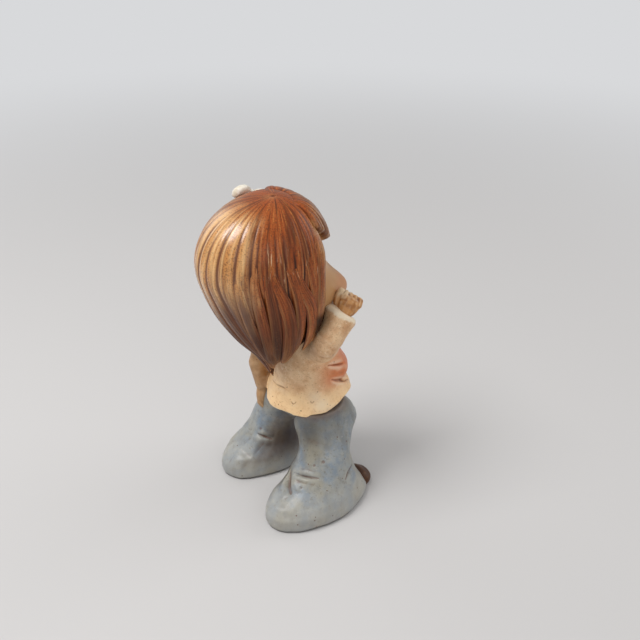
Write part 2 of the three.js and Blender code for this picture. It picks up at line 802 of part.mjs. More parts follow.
add('hips', block([hips, legPeg(sides.right), legPeg(sides.left)]), denimPaint);
add('sweater_body', block([trunk], [trunkHollow(), ...room(hips, neck)]), sweaterPaint);
const hemRoom = [hemForm(hemThickness), ...room(trunk, hips, legs.right, legs.left)];
add('sweater_hem', block([hem], hemRoom), sweaterPaint);
add('collar', block([collar], room(trunk, neck, head)), sweaterPaint);
add('neck', block([neck]), skinPaint);
add('head', block([head], [headHollow(), grown(neck)]), skinPaint);

for (const [name, side] of Object.entries(sides)) {
  const hollow = grown(legForm(side, { sides: 12, steps: 6 }), -castWall);
  const legRoom = [hollow, legVent(side), ...room(hips, legPeg(side), shoes[name])];
  add(`${name}_trouser_leg`, block([legs[name]], legRoom), denimPaint);
  add(`${name}_shoe`, block([shoes[name]]), shoePaint);
  const clothes = room(trunk, hips, hem, legs[name]);
  const sleeveRoom = [...clothes, ...room(cuffs[name], wrists[name])];
  add(`${name}_sleeve`, block([sleeves[name]], sleeveRoom), sweaterPaint);
  const cuffRoom = [...clothes, ...room(head, wrists[name])];
  add(`${name}_cuff`, block([cuffs[name]], cuffRoom), sweaterPaint);
  const fist = block(handForms(side, handTurn[name]), room(cuffs[name])).add(solid(wrists[name]));
  const hand = [...clothes, grown(head)].reduce((body, cutter) => body.subtract(solid(cutter)), fist);
  add(`${name}_hand`, hand, skinPaint);
}

const hairRoom = room(head, neck, trunk, collar, sleeves.right, sleeves.left, cuffs.right, knot);
add('back_hair', block([hair], hairRoom), hairPaint);
const lockRoom = [grown(hair, lockGap), ...room(head, knot, bowLoop(-1))];
add('fringe', block(fringe, lockRoom), hairPaint);
// The side locks hang past the face opening of the hair, so theirs is a seat without it
const sideLockSeat = grown(hairForm(() => hairTempleHeight), lockGap);
for (const [name, side] of Object.entries(sides)) {
  const sideRoom = [sideLockSeat, ...room(hair, head, knot, bowLoop(-1), sleeves[name], ...fringe)];
  add(`${name}_side_lock`, block(sideLockForms(side), sideRoom), hairPaint);
}
add('bow_knot', block([knot]), bowPaint);
add('bow_back_loop', block([bowLoop(1)], room(knot, hair)), bowPaint);
add('bow_front_loop', block([bowLoop(-1)], room(knot, hair)), bowPaint);

// The origin lies on the floor, under the middle of the figure
const bounds = new THREE.Box3().setFromObject(figure);
figure.position.x = -(bounds.min.x + bounds.max.x) / 2;
figure.position.y = -(bounds.min.y + bounds.max.y) / 2;

export default figure;
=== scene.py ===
"""Ceramic girl figurine: slip cast, cold painted and rubbed with a brown wash.

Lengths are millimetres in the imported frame, and become metres when a piece is made.
She looks along -Y, and her left hand is on +X.
"""
import math

import bmesh
import bpy
import numpy as np
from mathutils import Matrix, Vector, noise
from mathutils.bvhtree import BVHTree


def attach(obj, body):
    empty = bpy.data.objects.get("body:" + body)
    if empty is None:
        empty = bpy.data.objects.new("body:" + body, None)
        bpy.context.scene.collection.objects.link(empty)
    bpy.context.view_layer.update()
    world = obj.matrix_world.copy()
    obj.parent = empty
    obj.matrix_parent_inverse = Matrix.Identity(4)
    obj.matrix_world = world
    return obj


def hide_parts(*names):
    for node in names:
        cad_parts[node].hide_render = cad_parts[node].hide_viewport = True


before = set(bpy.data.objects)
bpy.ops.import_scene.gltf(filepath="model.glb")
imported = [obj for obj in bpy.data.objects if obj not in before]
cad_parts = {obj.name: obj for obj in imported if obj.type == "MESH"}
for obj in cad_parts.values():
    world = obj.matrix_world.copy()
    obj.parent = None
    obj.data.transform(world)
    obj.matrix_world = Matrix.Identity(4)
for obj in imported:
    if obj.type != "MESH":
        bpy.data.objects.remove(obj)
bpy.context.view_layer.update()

MM = 0.001

# Face
MIDDLE = 1.75  # her middle plane
EYE_LEVEL = 138.2
EYE_APART = 8.6  # from the middle plane
NOSE_LEVEL = 125.4
MOUTH_LEVEL = 119.8

# Hair, as it was cast
CROWN = 173.0
WIDEST = 143.0
HAIR_TIP = 72.0
HAIR_AXIS = np.array([1.75, 2.56])
WHORL = np.array([-2.5, 0.5])  # where the strands start, from the axis of the hair
HAIR_HALF = 28.5  # reach to each side of the axis
HAIR_FORWARD = 21.0
HAIR_BACKWARD = 40.8
FULLNESS = 0.81  # 1 is a round cap, and less is a squarer one
CAP = CROWN - WIDEST
CAP_REACH = math.pi / 2 * CAP  # the way from the whorl to where the hair hangs
STRAND = 2.6  # degrees of turn between the fine strands
SIDE_EDGE = 104.0  # where the hair ends at her side, her temple and her brow
TEMPLE_EDGE = 107.0
FRINGE_EDGE = 160.0
FACE_LINE = 0.34  # sine of the turn where the temple ends

# Sizes of the hanging hair from the cap, at 0, down to its tip, at 1
FALL_LEVELS = [0, 0.2, 0.4, 0.6, 0.78, 0.95, 1]
FALL_WIDTH = [1, 1, 0.96, 0.82, 0.5, 0.18, 0.08]
FALL_BACK = [1, 0.913, 0.762, 0.547, 0.296, 0.122, 0.068]
FALL_FRONT = [1, 1, 1.2, 1.6, 0.9, 0.25, 0.07]


def ease(value, low=0.0, high=1.0):
    share = np.clip((value - low) / (high - low), 0, 1)
    return share * share * (3 - 2 * share)


def mix(low, high, share):
    return low + (high - low) * share


def bell(value, width=1.0):
    return np.exp(-((value / width) ** 2))


def lumps(points, size, seed=0.0):
    """Soft noise of about -1 to 1 at each point, with lumps of a size."""
    shift = Vector((seed, seed * 1.7, -seed))
    return np.array([noise.noise(Vector(p) + shift) for p in (points / size).tolist()])


def through(points, steps):
    """A smooth path through a few points."""
    p = np.asarray(points, float)
    p = np.vstack([2 * p[0] - p[1], p, 2 * p[-1] - p[-2]])
    spots = []
    for i in range(1, len(p) - 2):
        for t in np.arange(steps) / steps:
            spots.append(0.5 * (
                2 * p[i]
                + (p[i + 1] - p[i - 1]) * t
                + (2 * p[i - 1] - 5 * p[i] + 4 * p[i + 1] - p[i + 2]) * t ** 2
                + (3 * p[i] - p[i - 1] - 3 * p[i + 1] + p[i + 2]) * t ** 3
            ))
    return np.array([*spots, p[-2]])


def meshed(name, points, edges, faces):
    """A mesh in metres, from points in millimetres."""
    mesh = bpy.data.meshes.new(name)
    mesh.from_pydata((points * MM).tolist(), edges, faces)
    return mesh


def placed(name, data):
    """A new object in the scene."""
    thing = bpy.data.objects.new(name, data)
    bpy.context.scene.collection.objects.link(thing)
    return thing


def stamp(mesh, name, values):
    """Stores a number or a vector at each point of a mesh."""
    kind, field = ("FLOAT", "value") if values.ndim == 1 else ("FLOAT_VECTOR", "vector")
    attribute = mesh.attributes.new(name, kind, "POINT")
    attribute.data.foreach_set(field, values.astype(np.float32).ravel())


class Clay:
    """A dense skin of points that is pressed, cut and smoothed like leather-hard clay."""

    def __init__(self, points, faces):
        self.points = np.asarray(points, float)
        self.faces = [np.asarray(f) for f in faces if len(f)]
        self.start = np.concatenate([f.ravel() for f in self.faces])
        self.end = np.concatenate([np.roll(f, -1, 1).ravel() for f in self.faces])
        self.count = np.bincount(self.start, minlength=len(self.points))
        self.wash = np.zeros(len(self.points))
        self.wear = np.zeros(len(self.points))
        self.tone = np.zeros(len(self.points))
        self.comb = None

    def around(self, values):
        """Mean of a value over the neighbours of each point."""
        size = len(self.points)
        columns = values.reshape(size, -1).T
        sums = [np.bincount(self.start, c[self.end], size) for c in columns]
        return (np.array(sums) / self.count).T.reshape(values.shape)

    def normals(self):
        total = np.zeros_like(self.points)
        for face in self.faces:
            corner = self.points[face]
            out = np.cross(corner[:, 2] - corner[:, 0], corner[:, -1] - corner[:, 1])
            for index in face.T:
                for axis in range(3):
                    total[:, axis] += np.bincount(index, out[:, axis], len(total))
        length = np.linalg.norm(total, axis=1, keepdims=True)
        return total / np.maximum(length, 1e-12)

    def soften(self, rounds, where=None):
        share = 0.5 if where is None else 0.5 * where[:, None]
        for _ in range(rounds):
            self.points += share * (self.around(self.points) - self.points)
        return self

    def press(self, depth):
        self.points -= self.normals() * depth[:, None]
        return self

    def stained(self, wash, wear):
        """Adds wash and wear where they are stronger than what is there."""
        self.wash = np.maximum(self.wash, wash)
        self.wear = np.maximum(self.wear, wear)
        return self

    def away(self, at):
        return np.linalg.norm(self.points - np.array(at), axis=1)

    def along(self, path):
        """Distance of each point from a path, and its share of the way along it."""
        legs = np.diff(path, axis=0)
        lengths = np.linalg.norm(legs, axis=1)
        before = np.concatenate([[0], np.cumsum(lengths)])
        gap = np.full(len(self.points), np.inf)
        share = np.zeros(len(self.points))
        for origin, leg, length, start in zip(path, legs, lengths, before):
            t = np.clip((self.points - origin) @ leg / length ** 2, 0, 1)
            away = np.linalg.norm(self.points - origin - t[:, None] * leg, axis=1)
            near = away < gap
            gap[near] = away[near]
            share[near] = (start + t[near] * length) / before[-1]
        return gap, share

    def crease(self, path, depth, width, lip=0.0, stain=1.0, rub=0.0):
        """Cuts a groove that fades at its ends, with a raised lip on each side."""
        gap, share = self.along(through(path, 8))
        near = gap < width * 8
        waver = np.zeros(len(gap))
        waver[near] = lumps(self.points[near], 4.5, width * 5 + depth)
        gap = np.abs(gap + waver * 0.4)
        fade = np.sin(np.pi * share) ** 0.8 * (1 + waver * 0.3)
        cut = bell(gap, width * (0.5 + 0.6 * fade)) * fade
        swell = bell(gap / width - 3, 1.8) * fade
        self.press(depth * cut - lip * swell)
        return self.stained(stain * cut ** 1.6, rub * np.maximum(cut, swell))

    def swell(self, at, radius, height, stain=0.0, rub=0.0):
        near = bell(self.away(at), radius)
        return self.press(-height * near).stained(stain * near, rub * near)

    def wobble(self, size, height, seed=0.0):
        return self.press(height * lumps(self.points, size, seed))

    def weathered(self, rounds=8, scale=0.1, share=0.6):
        """Finds the hollows, which hold the wash, and the ridges, which are rubbed bare."""
        smooth = self.points
        for _ in range(rounds):
            smooth = self.around(smooth)
        sink = ((smooth - self.points) * self.normals()).sum(1) / scale
        level = sink
        for _ in range(rounds * 4):
            level = self.around(level)
        hollow = np.clip(sink - level, 0, 1)
        ridge = np.clip(level - sink, 0, 1)
        return self.stained(share * hollow, share * ridge)

    def piece(self, name, paint, slot, *nodes):
        """Makes the clay a finished piece that stands for some nodes."""
        corners = [corner for face in self.faces for corner in face.tolist()]
        mesh = meshed(name, self.points, [], corners)
        mesh.shade_smooth()
        stamp(mesh, "wash", self.wash)
        stamp(mesh, "wear", self.wear)
        stamp(mesh, "tone", self.tone)
        if self.comb is not None:
            stamp(mesh, "comb", self.comb)
        mesh.materials.append(paint)
        seat(placed(name, mesh), slot, *nodes)


def seat(piece, slot, *nodes):
    """Says what a finished piece rides on and stands for; slot is not used."""
    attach(piece, "root")
    if nodes:
        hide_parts(*nodes)


# Casting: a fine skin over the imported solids

def casting(node, grow, low=None, high=None):
    """Points and triangles of a solid, grown a little, or of its part between two levels."""
    form = bmesh.new()
    form.from_mesh(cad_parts[node].data)
    bmesh.ops.remove_doubles(form, verts=form.verts, dist=1e-6)
    for level, up in ((low, -1), (high, 1)):
        if level is not None:
            everything = form.verts[:] + form.edges[:] + form.faces[:]
            cut = bmesh.ops.bisect_plane(
                form, geom=everything, plane_co=(0, 0, level * MM),
                plane_no=(0, 0, up), clear_outer=True,
            )
            rim = [e for e in cut["geom_cut"] if isinstance(e, bmesh.types.BMEdge)]
            bmesh.ops.holes_fill(form, edges=rim, sides=0)
    bmesh.ops.triangulate(form, faces=form.faces[:])
    form.normal_update()
    points = np.array([(v.co / MM + v.normal * grow)[:] for v in form.verts])
    triangles = np.array([[v.index for v in f.verts] for f in form.faces])
    form.free()
    return points, triangles


def outer_skin(points, quads):
    """Keeps the body that reaches furthest out, without the walls of a sealed hollow."""
    start = quads.ravel()
    end = np.roll(quads, -1, 1).ravel()
    order = np.argsort(start, kind="stable")
    first = np.searchsorted(start[order], np.arange(len(points) + 1))
    end = end[order]
    seen = np.zeros(len(points), bool)
    front = [int(np.argmin(points[:, 0]))]
    seen[front] = True
    while len(front):
        reached = np.unique(np.concatenate([end[first[v]:first[v + 1]] for v in front]))
        front = reached[~seen[reached]]
        seen[front] = True
    number = np.cumsum(seen) - 1
    return points[seen], number[quads[seen[quads[:, 0]]]]


def skin(castings, voxel, rounds):
    """One even skin over some castings, softened like sponged clay."""
    before = np.cumsum([0, *[len(points) for points, _ in castings]])
    points = np.vstack([points for points, _ in castings])
    triangles = np.vstack([faces + first for (_, faces), first in zip(castings, before)])
    mesh = meshed("casting", points, [], triangles.tolist())
    rough = placed("casting", mesh)
    remesh = rough.modifiers.new("skin", "REMESH")
    remesh.mode = "VOXEL"
    remesh.voxel_size = voxel * MM
    graph = bpy.context.evaluated_depsgraph_get()
    fine = bpy.data.meshes.new_from_object(rough.evaluated_get(graph))
    spots = np.empty(len(fine.vertices) * 3)
    fine.vertices.foreach_get("co", spots)
    corners = np.empty(len(fine.loops), int)
    fine.loops.foreach_get("vertex_index", corners)
    bpy.data.objects.remove(rough)
    bpy.data.meshes.remove(mesh)
    bpy.data.meshes.remove(fine)
    points, quads = outer_skin(spots.reshape(-1, 3) / MM, corners.reshape(-1, 4))
    return Clay(points, [quads]).soften(rounds)


# Hair

def falling(amounts, level):
    """A size of the falling hair at a level, on a smooth curve through its list."""
    slopes = np.gradient(amounts, FALL_LEVELS)
    slopes[0] = 0
    held = np.clip(level, 0, 1)
    i = np.clip(np.searchsorted(FALL_LEVELS, held) - 1, 0, len(amounts) - 2)
    stops, sizes = np.array(FALL_LEVELS), np.array(amounts)
    span = stops[i + 1] - stops[i]
    t = (held - stops[i]) / span
    return (
        sizes[i] * (1 + 2 * t) * (1 - t) ** 2
        + sizes[i + 1] * (3 - 2 * t) * t ** 2
        + slopes[i] * span * t * (1 - t) ** 2
        - slopes[i + 1] * span * t ** 2 * (1 - t)
    )


def hair_edge(turn):
    """How high the hair ends in a direction, where turn is a quarter circle at the back."""
    back = np.sin(turn)
    behind = mix(SIDE_EDGE, HAIR_TIP, 1 - (1 - np.maximum(back, 0)) ** 0.6)
    temple = mix(SIDE_EDGE, TEMPLE_EDGE, np.clip(-back / FACE_LINE, 0, 1))
    before = mix(temple, FRINGE_EDGE, ease(-back, FACE_LINE, FACE_LINE + 0.14))
    return np.where(back > 0, behind, before)


def reach_to(level):
    """The way down over the hair from the whorl to a level."""
    over = CAP * np.arccos(np.clip((level - WIDEST) / CAP, -1, 1))
    return np.where(level < WIDEST, CAP_REACH + WIDEST - level, over)


def on_hair(turn, reach, rise=0.0):
    """Points on the hair: turn goes round, reach goes down from the whorl."""
    turn, reach, rise = np.broadcast_arrays(turn, reach, rise)
    back = np.sin(turn)
    depth = np.where(back > 0, HAIR_BACKWARD, HAIR_FORWARD)
    slope = np.clip(reach / CAP, 0, math.pi / 2)
    wide = np.sin(slope) ** FULLNESS
    drop = np.maximum(reach - CAP_REACH, 0)
    level = drop / (WIDEST - HAIR_TIP)
    broad = wide * falling(FALL_WIDTH, level)
    deep = wide * np.where(back > 0, falling(FALL_BACK, level), falling(FALL_FRONT, level))
    shift = 1 - ease(wide)
    x = HAIR_HALF * broad * np.cos(turn) + WHORL[0] * shift
    y = depth * deep * back + WHORL[1] * shift
    behind = np.where(y > 0, HAIR_BACKWARD, HAIR_FORWARD)
    share = np.clip(np.hypot(x / HAIR_HALF, y / behind), 0, 1) ** (1 / FULLNESS)
    cap = WIDEST + CAP * np.sqrt(np.maximum(1 - share ** 2, 0))
    z = np.where(reach < CAP_REACH, np.where(shift > 0, cap, WIDEST), WIDEST - drop)
    out = np.stack([x, y * 0.8, (z - WIDEST) * 0.9], -1)
    out /= np.linalg.norm(out, axis=-1, keepdims=True)
    spot = np.stack([x + HAIR_AXIS[0], y + HAIR_AXIS[1], z], -1)
    return spot + out * rise[..., None]


def gathered(turn, reach):
    """Turn of a strand on its way down: behind her the strands draw in to the tip."""
    low = ease(reach, CAP_REACH + 4, CAP_REACH + 44)
    away = np.degrees(turn) - 90
    side, away = np.sign(away), np.abs(away)
    pull = 0.62 * low * (1 - ease(away, 42, 58))
    drawn = mix(away, 30 * np.minimum(1, away / 15), pull)
    fanned = drawn + 7 * low * ease(away, 50, 70) * (1 - ease(away, 88, 100))
    return np.radians(90 + side * fanned)


# Turn in degrees, depth, width, and the share of the way down where each groove starts
BACK_GROOVES = [
    (137, 0.9, 0.9, 0.02), (131, 0.35, 0.5, 0.5), (124, 1.0, 0.8, 0.05),
    (117, 0.3, 0.45, 0.4), (110, 1.0, 0.8, 0.05), (104, 0.4, 0.5, 0.55),
    (97, 0.9, 0.8, 0.1), (91, 0.5, 0.5, 0.35), (84, 1.0, 0.9, 0.05),
    (78, 0.4, 0.5, 0.4), (71, 0.9, 0.8, 0.08), (64, 0.5, 0.5, 0.3),
    (57, 1.0, 0.8, 0.05), (50, 0.4, 0.5, 0.45), (43, 1.0, 0.9, 0.05),
]
SIDE_GROOVES = [
    (142, 0.8, 0.9, 0.1), (148.5, 0.5, 0.6, 0.3), (155, 0.7, 0.8, 0.15),
    (162, 0.6, 0.6, 0.1), (168, 0.8, 0.8, 0.25), (175, 0.6, 0.7, 0.12),
    (182, 0.8, 0.8, 0.2), (189, 0.6, 0.7, 0.1), (196, 0.7, 0.7, 0.15),
    (33, 0.8, 0.9, 0.1), (25, 0.6, 0.7, 0.2), (18, 0.8, 0.8, 0.15),
    (10, 0.6, 0.7, 0.1), (3, 0.8, 0.8, 0.2), (-4, 0.6, 0.7, 0.15),
    (-11, 0.7, 0.8, 0.1), (-17, 0.6, 0.7, 0.2),
]
FRINGE_SPLITS = [206, 224, 241, 258, 276, 293, 311, 334]
FRINGE_LENGTHS = [-0.6, 0.7, -0.4, 0.8, 0.0, 0.9, -0.6]
FRINGE_GROOVES = [
    (216, 0.5, 0.6, 0.1), (224, 0.8, 0.7, 0.05), (229, 0.4, 0.5, 0.2), (235, 0.5, 0.5, 0.3),
    (241, 0.8, 0.7, 0.05), (247, 0.4, 0.5, 0.2), (252, 0.5, 0.5, 0.3), (258, 0.7, 0.7, 0.05),
    (264, 0.5, 0.5, 0.3), (270, 0.4, 0.5, 0.2), (276, 0.8, 0.7, 0.05), (282, 0.4, 0.5, 0.3),
    (288, 0.5, 0.5, 0.2), (293, 0.7, 0.7, 0.05), (299, 0.4, 0.5, 0.2), (305, 0.5, 0.5, 0.3),
    (311, 0.8, 0.7, 0.05), (321, 0.6, 0.6, 0.15),
]


def drift(degrees, shares, across, down, seed):
    """Slow noise over a grid of hair."""
    spots = np.stack([degrees * across, shares * down, degrees * 0], -1)
    return lumps(spots.reshape(-1, 3), 1, seed).reshape(degrees.shape)


def combed(turns, shares, spacing, grooves, strand, seed):
    """Depth and wash of the grooves and the fine strands over a grid of hair.

    spacing is the millimetres in one degree of turn at each point of the grid.
    """
    degrees = np.degrees(turns)
    depth = np.zeros_like(degrees)
    wash = np.zeros_like(degrees)
    room = np.clip(spacing / 0.4, 0, 1)
    wander = drift(degrees, shares, 0.06, 2.5, seed)
    for place, deep, width, start in grooves:
        gap = ((degrees + wander * 2.2 - place + 180) % 360 - 180) * spacing
        width = width * (0.55 + 0.45 * room) * (0.8 + 0.8 * shares ** 2)
        cut = bell(gap, width)
        sunk = ease(shares, start, start + 0.5) * room
        depth += deep * sunk * (0.6 * cut + 0.4 * bell(gap, width * 2.2))
        stain = (0.6 + 0.3 * ease(shares, 0.2, 0.6)) * cut + 0.32 * bell(gap, width * 2.4)
        wash = np.maximum(wash, ease(shares, start, start + 0.2) * room * stain * min(1, deep))
    fine = np.abs(np.sin(np.pi * (degrees / STRAND + wander * 1.3))) ** 0.7
    amount = strand * (0.7 + 0.6 * drift(degrees, shares, 0.12, 5, seed + 9)) * room
    depth += amount * (1 - fine)
    wash = np.maximum(wash, 0.5 * (1 - fine) ** 2 * np.clip(amount / 0.2, 0, 1))
    return depth, wash


def comb_marks(turns, reach, seed):
    """Coordinates for paint streaks, which change fast across the strands."""
    turns, reach = np.broadcast_arrays(turns, reach)
    marks = [np.cos(turns) * 30 + seed, np.sin(turns) * 30, reach * 0.07]
    return np.stack(marks, -1).reshape(-1, 3)


def grid_faces(rows, columns, closed):
    """Quads over a grid of points, row by row."""
    across = columns if closed else columns - 1
    a = (np.arange(rows - 1)[:, None] * columns + np.arange(across)).ravel()
    step = (np.arange(across) + 1) % columns
    b = (np.arange(rows - 1)[:, None] * columns + step).ravel()
    return np.stack([a, a + columns, b + columns, b], 1)


def back_hair(paint):
    columns, rows = 600, 140
    strands = np.arange(columns) / columns * 2 * math.pi
    share = np.linspace(0, 1, rows + 1)[1:, None] ** 0.92
    full = reach_to(hair_edge(strands))
    for _ in range(4):
        full = reach_to(hair_edge(gathered(strands, full)))
    reach = share * full
    grid = on_hair(gathered(strands[None, :], reach), reach)
    spacing = np.linalg.norm(np.roll(grid, -1, 1) - grid, axis=2) * columns / 360

    # The grid is closed at the whorl, and below by rings that draw in to an inner point
    inner = np.array([MIDDLE, HAIR_AXIS[1] - 6, 131.0])
    lower = [mix(grid[-1], inner, s) for s in (0.02, 0.06, 0.14, 0.4, 0.75)]
    points = np.concatenate([grid.reshape(-1, 3), *lower])
    top, end = len(points), len(points) + 1
    points = np.vstack([points, on_hair(0.0, 0.0), inner])
    total = rows + len(lower)
    ring = np.arange(columns)
    after = (ring + 1) % columns
    last = (total - 1) * columns
    caps = np.concatenate([
        np.stack([np.full(columns, top), ring, after], 1),
        np.stack([np.full(columns, end), last + after, last + ring], 1),
    ])
    hair = Clay(points, [grid_faces(total, columns, True), caps]).soften(3)

    # Strands are finest in the middle of her back, and sink in behind the hanging locks
    along, lines = np.broadcast_arrays(share, strands)
    aside = np.abs(np.degrees(lines) - 90)
    near = 0.01 + 0.09 * ease(along, 0.4, 0.6) + 0.12 * ease(aside, 44, 60)
    depth, wash = combed(lines, along, spacing, BACK_GROOVES + SIDE_GROOVES, near, 3)
    behind_locks = ease(aside, 44, 56) * ease(reach, CAP_REACH, CAP_REACH + 14)
    depth = depth + 0.9 * behind_locks
    # Behind the hanging locks the hair is darker: partly wash, partly painted shade
    wash = np.maximum(wash, 0.75 * behind_locks)
    spare = np.zeros(len(points) - depth.size)
    hair.press(np.concatenate([depth.ravel() - 0.25, spare]))
    hair.wash = np.concatenate([wash.ravel(), spare + 0.8])
    hair.comb = np.vstack([comb_marks(lines, reach, 0), np.zeros((len(spare), 3))])
    hair.weathered(3, 0.12, 1)
    hair.piece("combed_hair", paint, "hair", "back_hair")


def fringe(paint):
    """Thick bangs that sweep from the whorl over the brow, with a rounded lip."""
    columns, rows, lip_rows, under_rows = 230, 90, 8, 6
    half = 62.0  # degrees of turn to each side
    start = 8.0  # the way from the whorl to its first and its last row
    longest = 43.6
    bend = 1.5  # radius of the lip
    strands = np.radians(np.linspace(270 - half, 270 + half, columns))
    degrees = np.degrees(strands)
    away = np.abs(degrees - 270) / half
    lock = np.clip(np.searchsorted(FRINGE_SPLITS, degrees) - 1, 0, 6)
    splits = np.array(FRINGE_SPLITS, float)
    within = (degrees - splits[lock]) / (splits[lock + 1] - splits[lock])
    scallop = np.sin(np.pi * np.clip(within, 0.02, 0.98)) ** 0.5
    ragged = 2.2 * (scallop - 0.6) + np.array(FRINGE_LENGTHS)[lock] * scallop
    end = longest - 16 * away ** 2 + ragged
    share = np.linspace(0, 1, rows)[:, None]
    reach = mix(start, end - bend, share)
    thick = 0.4 + 4.9 * np.sin(np.pi * 0.55 * share ** 0.75)
    thick = thick + ease(share, 0.1, 0.8) * (scallop - 0.3)
    outer = -0.8 + thick * np.sqrt(np.maximum(1 - away ** 5, 0))
    along, lines = np.broadcast_arrays(share, strands)
    grid = on_hair(lines, reach)
    spacing = np.linalg.norm(np.diff(grid, axis=1, append=grid[:, -1:]), axis=2)
    spacing = spacing * columns / (2 * half)
    spacing[:, -1] = spacing[:, -2]
    depth, wash = combed(lines, along, spacing, FRINGE_GROOVES, 0.14, 11)

    # The top, the lip that rolls in, and the underside that runs back to the start
    top = on_hair(lines, reach, outer - depth)
    turned = np.linspace(0, math.pi / 2, lip_rows + 1)[1:, None]
    lip_reach = end - bend + bend * np.sin(turned)
    lip_rise = -1.0 + (outer[-1] - depth[-1] + 1.0) * np.cos(turned)
    rolled = on_hair(strands, lip_reach, lip_rise)
    back = np.linspace(0, 1, under_rows + 1)[1:, None]
    under = on_hair(strands, mix(end, start, back), -1.6)
    layers = np.concatenate([top, rolled, under])
    count = len(layers)
    points = layers.reshape(-1, 3)
    seam = np.arange(columns - 1)
    last = (count - 1) * columns
    close = np.stack([last + seam, seam, seam + 1, last + seam + 1], 1)
    rims = [np.arange(count) * columns + column for column in (0, columns - 1)]
    fans = [
        np.stack([np.full(count, len(points) + side), rim, np.roll(rim, -1)], 1)
        for side, rim in enumerate(rims)
    ]
    caps = np.concatenate([fans[0][:, ::-1], fans[1]])
    points = np.vstack([points, *[points[rim].mean(0) for rim in rims]])
    bangs = Clay(points, [grid_faces(count, columns, False), close, caps])
    plain = np.zeros(len(points) - wash.size)
    bangs.wash = np.concatenate([wash.ravel(), plain])
    marks = [comb_marks(lines, reach, 50), comb_marks(strands, lip_reach, 50)]
    bangs.comb = np.vstack([*marks, np.zeros((len(plain) - lip_reach.size, 3))])
    bangs.soften(1).weathered(3, 0.12, 1)
    bangs.piece("bangs", paint, "hair", "fringe")


# Shader and geometry nodes, written as expressions

def operator(name):
    return lambda value, other: value.nodes.maths(name, value, other)


class Value:
    """A socket that adds nodes when it is used in a sum or compared with two limits."""

    def __init__(self, nodes, socket):
        self.nodes, self.socket = nodes, socket

    __add__ = __radd__ = operator("ADD")
    __mul__ = __rmul__ = operator("MULTIPLY")
    __sub__ = operator("SUBTRACT")
    __truediv__ = operator("DIVIDE")
    __pow__ = operator("POWER")

    def __rsub__(self, other):
        return self.nodes.maths("SUBTRACT", other, self)

    def above(self, low, high):
        """0 below low and 1 above high, with a soft change between."""
        settings = {"interpolation_type": "SMOOTHSTEP"}
        sockets = {"Value": self, "From Min": low, "From Max": high}
        return self.nodes.add("ShaderNodeMapRange", settings, sockets)

    def below(self, low, high):
        return 1 - self.above(low, high)


class Nodes:
    """A node tree. add() makes any node from its type, its settings and its sockets."""

    def __init__(self, tree):
        self.tree = tree
        tree.nodes.clear()

    def add(self, kind, settings=None, sockets=None, output=0):
        node = self.tree.nodes.new(kind)
        for key, value in (settings or {}).items():
            setattr(node, key, value)
        for key, value in (sockets or {}).items():
            if isinstance(value, Value):
                self.tree.links.new(value.socket, node.inputs[key])
            else:
                node.inputs[key].default_value = value
        return Value(self, node.outputs[output]) if len(node.outputs) else node

    def maths(self, operation, *values):
        return self.add("ShaderNodeMath", {"operation": operation}, dict(enumerate(values)))


def colour(red, green, blue):
    """A paint colour, from screen values of 0 to 255."""
    values = [c / 255 for c in (red, green, blue)]
    return tuple(
        c / 12.92 if c <= 0.04045 else ((c + 0.055) / 1.055) ** 2.4 for c in values
    ) + (1.0,)


class Paint(Nodes):
    """A painted and varnished finish, laid on coat by coat over a base colour."""

    def __init__(self, name, base):
        self.material = bpy.data.materials.new(name)
        self.material.use_nodes = True
        super().__init__(self.material.node_tree)
        self.tint = base
        self.place = self.add("ShaderNodeTexCoord", output="Object")
        self.wash = self.mark("wash")
        self.wear = self.mark("wear")

    def mark(self, name, output="Fac"):
        return self.add("ShaderNodeAttribute", {"attribute_name": name}, output=output)

    def axes(self):
        return [self.add("ShaderNodeSeparateXYZ", {}, {0: self.place}, a) for a in "XYZ"]

    def grain(self, size, detail=3.0, rough=0.55, seed=0.0, at=None, stretch=(1, 1, 1)):
        """Noise of about 0 to 1, with lumps of a size in millimetres."""
        moved = self.add("ShaderNodeMapping", {}, {
            "Vector": at or self.place,
            "Location": (seed, seed * 0.7, -seed * 0.4),
            "Scale": stretch,
        })
        scale = 1 / (size * MM) if at is None else 1 / size
        return self.add("ShaderNodeTexNoise", {}, {
            "Vector": moved, "Scale": scale, "Detail": detail, "Roughness": rough,
        })

    def pits(self, size, share, seed=0.0):
        """Small round casting pits, as a mask of 0 to 1."""
        moved = self.add("ShaderNodeMapping", {}, {"Vector": self.place, "Location": (seed, 0, 0)})
        sockets = {"Vector": moved, "Scale": 1 / (size * MM), "Randomness": 1.0}
        near = self.add("ShaderNodeTexVoronoi", {}, sockets, "Distance")
        cell = self.add("ShaderNodeTexVoronoi", {}, sockets, "Color")
        chosen = self.add("ShaderNodeSeparateColor", {}, {0: cell}).above(1 - share, 1.02 - share)
        return near.below(0.12, 0.3) * chosen

    def over(self, under, tint, amount):
        """A colour over another one. Each is screen values, or comes from a node."""
        under, tint = (c if isinstance(c, Value) else colour(*c) for c in (under, tint))
        return self.add("ShaderNodeMix", {"data_type": "RGBA"}, {0: amount, 6: under, 7: tint}, 2)

    def lay(self, tint, amount):
        """One more coat over what is painted so far."""
        self.tint = self.over(self.tint, tint, amount)

    def finish(self, rough, coat, coat_rough, height, depth):
        """Closes the tree with one shader. height is a bump of some depth in millimetres."""
        bump = self.add("ShaderNodeBump", {}, {
            "Height": height, "Distance": depth * MM, "Strength": 0.6,
        })
        shader = self.add("ShaderNodeBsdfPrincipled", {}, {
            "Base Color": self.tint, "Roughness": rough, "Coat Weight": coat,
            "Coat Roughness": coat_rough, "Specular IOR Level": 0.25, "Normal": bump,
        })
        self.add("ShaderNodeOutputMaterial", {}, {"Surface": shader})
        return self.material


